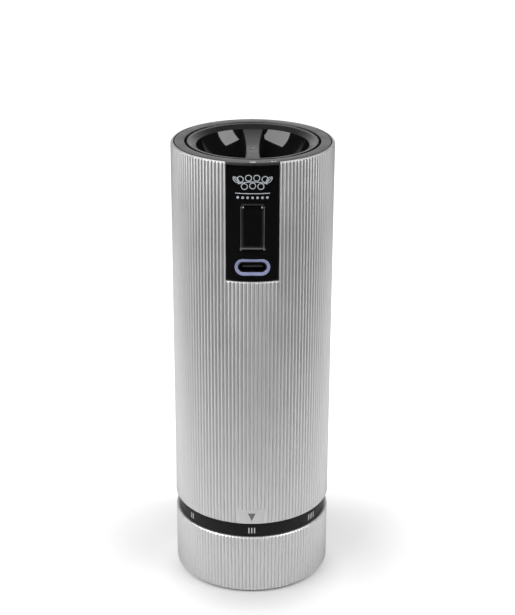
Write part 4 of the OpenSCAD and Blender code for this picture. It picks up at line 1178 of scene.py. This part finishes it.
burr_spring = place_object("burr_spring_coil", bpy.data.meshes.new("burr_spring_coil"))
run_group(burr_spring, coil_tree(), {
    "Coil Radius": coil_r, "Turns": coil_turns,
    "Rise": coil_high.z - coil_low.z - 2 * (wire_r + coil_play),
    "Bottom": coil_low.z + wire_r + coil_play, "Wire Radius": wire_r, "Finish": spring_strip})
outward(burr_spring)
shade(burr_spring, 60)
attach(burr_spring, "burr_shaft")
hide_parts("burr_spring")


# ---------------------------------------------------------------- motor block case, seal and cover
# The case is a moulded cup. A soft round seal lies in the groove near its floor, and a plate closes
# it at the top, held by three screws.

dress("motor_block_case", moulded_black)
dress("inner_cover", moulded_black)

seal_rubber = finish(
    "seal_rubber", (0.012, 0.012, 0.0125), 0.45, grain=0.15, bump=0.002, mottle=2, colour_swing=0.2)
seal_low, seal_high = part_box("seal_ring")
seal_r = (seal_high.z - seal_low.z) / 2
seal_corners = 24
seal_turns = [2 * math.pi * k / seal_corners for k in range(seal_corners)]
seal = lathe("seal_ring_round", [
    (seal_high.x + seal_r * (math.cos(a) - 1), seal_low.z + seal_r * (math.sin(a) + 1))
    for a in seal_turns], segments=192)
seal.data.materials.append(seal_rubber)
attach(seal, "motor_block")
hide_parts("seal_ring")

cover_low, cover_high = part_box("inner_cover")
boss_circle = 19 * MM
boss_angles = (90, 225, 315)
cover_screws = set_round(
    "cover_screws_threaded", screw_blank(1.8 * MM, 0.7 * MM, 0.95 * MM, 8 * MM, 1),
    [(a, boss_circle, cover_high.z) for a in boss_angles], bright_steel)
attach(cover_screws, "motor_block")
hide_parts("cover_screws")


# ---------------------------------------------------------------- circuit board, chips and switch
# The board is glass-filled resin under green lacquer. The chips and the push switch on it are
# black moulded packages with a fine matt skin.

board_lacquer = finish(
    "board_lacquer", (0.008, 0.085, 0.035), 0.22, grain=0.45, bump=0.003, mottle=1.5, colour_swing=0.25)
chip_black = finish("chip_black", (0.018, 0.018, 0.02), 0.55, grain=0.08, bump=0.004, mottle=1)
dress("circuit_board", board_lacquer)
dress("board_chips", chip_black)
dress("button_switch", chip_black)


# ---------------------------------------------------------------- battery cells and tabs
# Two slim cells in shrink sleeves. The sleeve is drawn in over the rounded ends, the terminal stands
# proud of it, and nickel strips are welded across.

cell_sleeve = finish(
    "cell_sleeve", (0.015, 0.1, 0.27), 0.28, grain=0.6, stretch=(1, 1, 0.3), bump=0.004, mottle=4,
    colour_swing=0.1)
nickel = finish(
    "nickel_strip", (0.58, 0.56, 0.52), 0.34, grain=0.2, stretch=(1, 0.2, 1), bump=0.002, mottle=1.5,
    Metallic=1.0)
cells_low, cells_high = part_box("battery_cells")
cell_r = cells_high.y
cell_x = cells_high.x - cell_r
sleeve_top = cells_high.z - 1 * MM
top_end = sleeve_top - 0.3 * MM
bottom_end = cells_low.z + 0.25 * MM
top_end_r = 3.4 * MM
bottom_end_r = 3.6 * MM
terminal_r = 1.8 * MM
cell_sides = soften([
    (bottom_end_r, cells_low.z, 0.1 * MM), (cell_r, cells_low.z, 0.7 * MM), (cell_r, sleeve_top, 0.7 * MM),
    (top_end_r, sleeve_top, 0.1 * MM), (top_end_r, top_end, 0)])
cell = lathe("cell", [(0, bottom_end), (bottom_end_r, bottom_end)] + [tuple(p) for p in cell_sides] + [
    (terminal_r, top_end), (terminal_r, cells_high.z - 0.2 * MM), (terminal_r - 0.2 * MM, cells_high.z),
    (0, cells_high.z)], segments=64)
cells = set_round("battery_cells_sleeved", cell, [(0, cell_x, 0), (180, cell_x, 0)], cell_sleeve)
cells.data.materials.append(nickel)
for face in cells.data.polygons:
    off_axis = Vector((abs(face.center.x) - cell_x, face.center.y)).length
    at_end = face.center.z > top_end - 0.05 * MM or face.center.z < bottom_end + 0.05 * MM
    if off_axis < top_end_r and at_end:
        face.material_index = 1
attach(cells, "motor_block")
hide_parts("battery_cells")
dress("cell_tabs", nickel)


# ---------------------------------------------------------------- leads
# Stranded wire in soft coloured sleeves, from the cells and the motor to the back of the board: red
# on one side, black on the other.

red_sleeve = finish(
    "red_sleeve", (0.36, 0.015, 0.012), 0.38, grain=0.25, bump=0.003, mottle=1.5, colour_swing=0.1)
black_sleeve = finish("black_sleeve", (0.014, 0.014, 0.014), 0.38, grain=0.25, bump=0.003, mottle=1.5)
board_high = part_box("circuit_board")[1]
can_low, can_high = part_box("motor_can")
lead_r = 0.45 * MM
lead_steps = 24


def lead_points(start, finish_at):
    """A smooth bend that leaves the terminal upwards and meets the board from behind."""
    leaves = start + Vector((0, 0, 1.2)) * MM
    arrives = finish_at + Vector((0, 2.4, 0)) * MM
    points = []
    for k in range(lead_steps + 1):
        t = k / lead_steps
        points.append((1 - t) ** 3 * start + 3 * (1 - t) ** 2 * t * leaves
                      + 3 * (1 - t) * t**2 * arrives + t**3 * finish_at)
    return points


def wire_tree():
    """Draws a round sleeve along the edges of a mesh."""
    tree, given = open_group("sleeved_wire", ["Wire Radius"])
    route = add_node(tree, "GeometryNodeMeshToCurve", {"Mesh": given["Geometry"]})
    return close_group(tree, given, sweep_round(tree, given, route.outputs[0]))


wiring = wire_tree()
behind_board = board_high.y + 0.1 * MM
for name, side, material, slot_name in (
        ("red_leads", -1, red_sleeve, "red_wire"), ("black_leads", 1, black_sleeve, "black_wire")):
    routes = [
        lead_points(Vector((side * (cell_x - 2.4 * MM), -4.2 * MM, cover_low.z - 1 * MM)),
                    Vector((side * 5.6 * MM, behind_board, board_high.z - 1.8 * MM))),
        lead_points(Vector((side * 4.5 * MM, -5 * MM, can_high.z + 2.1 * MM)),
                    Vector((side * 3.4 * MM, behind_board, board_high.z - 1.4 * MM)))]
    spots = [p for route in routes for p in route]
    steps = [(k, k + 1) for k in range(len(spots) - 1) if k != lead_steps]
    lead_mesh = bpy.data.meshes.new(name + "_sleeved")
    lead_mesh.from_pydata(spots, steps, [])
    leads = place_object(name + "_sleeved", lead_mesh)
    run_group(leads, wiring, {"Wire Radius": lead_r, "Finish": material})
    outward(leads)
    shade(leads, 60)
    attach(leads, "motor_block")
    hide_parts(name)


# ---------------------------------------------------------------- gearbox
# Case, cap, carriers and planets are moulded in pale acetal, waxy and slightly translucent. Three
# screws from below hold the case down in the cup.

acetal = finish(
    "acetal", (0.72, 0.7, 0.63), 0.38, grain=0.35, bump=0.002, mottle=3, colour_swing=0.03,
    Subsurface_Weight=0.1, Subsurface_Scale=0.001)
planets = [stage + "_planet_" + letter for stage in ("upper", "lower") for letter in "abc"]
for node in ["gearbox_case", "gearbox_cap", "upper_carrier", "output_carrier"] + planets:
    dress(node, acetal)
ear_circle = 13.4 * MM
ear_angles = (90, 210, 330)
ear_screw_head = 0.9 * MM
ear_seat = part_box("gearbox_screws")[0].z + ear_screw_head
gearbox_screws = set_round(
    "gearbox_screws_threaded", screw_blank(1.7 * MM, ear_screw_head, 0.9 * MM, 4.4 * MM, -1),
    [(a, ear_circle, ear_seat) for a in ear_angles], bright_steel)
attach(gearbox_screws, "motor_block")
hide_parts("gearbox_screws")


# ---------------------------------------------------------------- motor
# A drawn steel can with rounded shoulders holds two ferrite magnets and a moulded end cap. The core
# that turns in it is wound with lacquered copper, and its shaft carries a brass pinion.

can_steel = finish(
    "can_steel", (0.5, 0.5, 0.5), 0.3, grain=0.14, stretch=(0.4, 0.4, 2), bump=0.0015, mottle=5, Metallic=1.0)
ferrite = finish("ferrite", (0.07, 0.07, 0.075), 0.55, grain=0.1, bump=0.006, mottle=1, colour_swing=0.2)
brass = finish("pinion_brass", (0.62, 0.4, 0.15), 0.26, grain=0.1, bump=0.0015, mottle=1, Metallic=1.0)
copper = finish(
    "wound_copper", (0.4, 0.16, 0.07), 0.32, grain=0.18, stretch=(1, 1, 4), bump=0.012, mottle=1,
    colour_swing=0.2, Metallic=0.9)
can_r = can_high.x
can_inner = can_r - 0.9 * MM
can_outside = can_low.z + 1 * MM
can_inside = can_outside + 1 * MM
can_boss = 3.1 * MM
can_bore = 1.05 * MM
can = lathe("motor_can_drawn", soften([
    (can_bore, can_low.z, 0), (can_boss, can_low.z, 0.3 * MM), (can_boss, can_outside, 0.1 * MM),
    (can_r, can_outside, 1.1 * MM), (can_r, can_high.z, 0.2 * MM), (can_inner, can_high.z, 0.2 * MM),
    (can_inner, can_inside, 0.5 * MM), (can_bore, can_inside, 0)]), segments=128)
can.data.materials.append(can_steel)
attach(can, "motor_block")
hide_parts("motor_can")
dress("motor_magnets", ferrite)
dress("motor_end_cap", moulded_black)
dress("motor_rotor", copper)
dress("motor_pinion", brass)


# ---------------------------------------------------------------- lock lugs
# Three pressed steel lugs, fixed in the wall of the grip. They reach through the windows of the rim
# into the bayonet slots of the collar.

dress("lock_lugs", bright_steel)
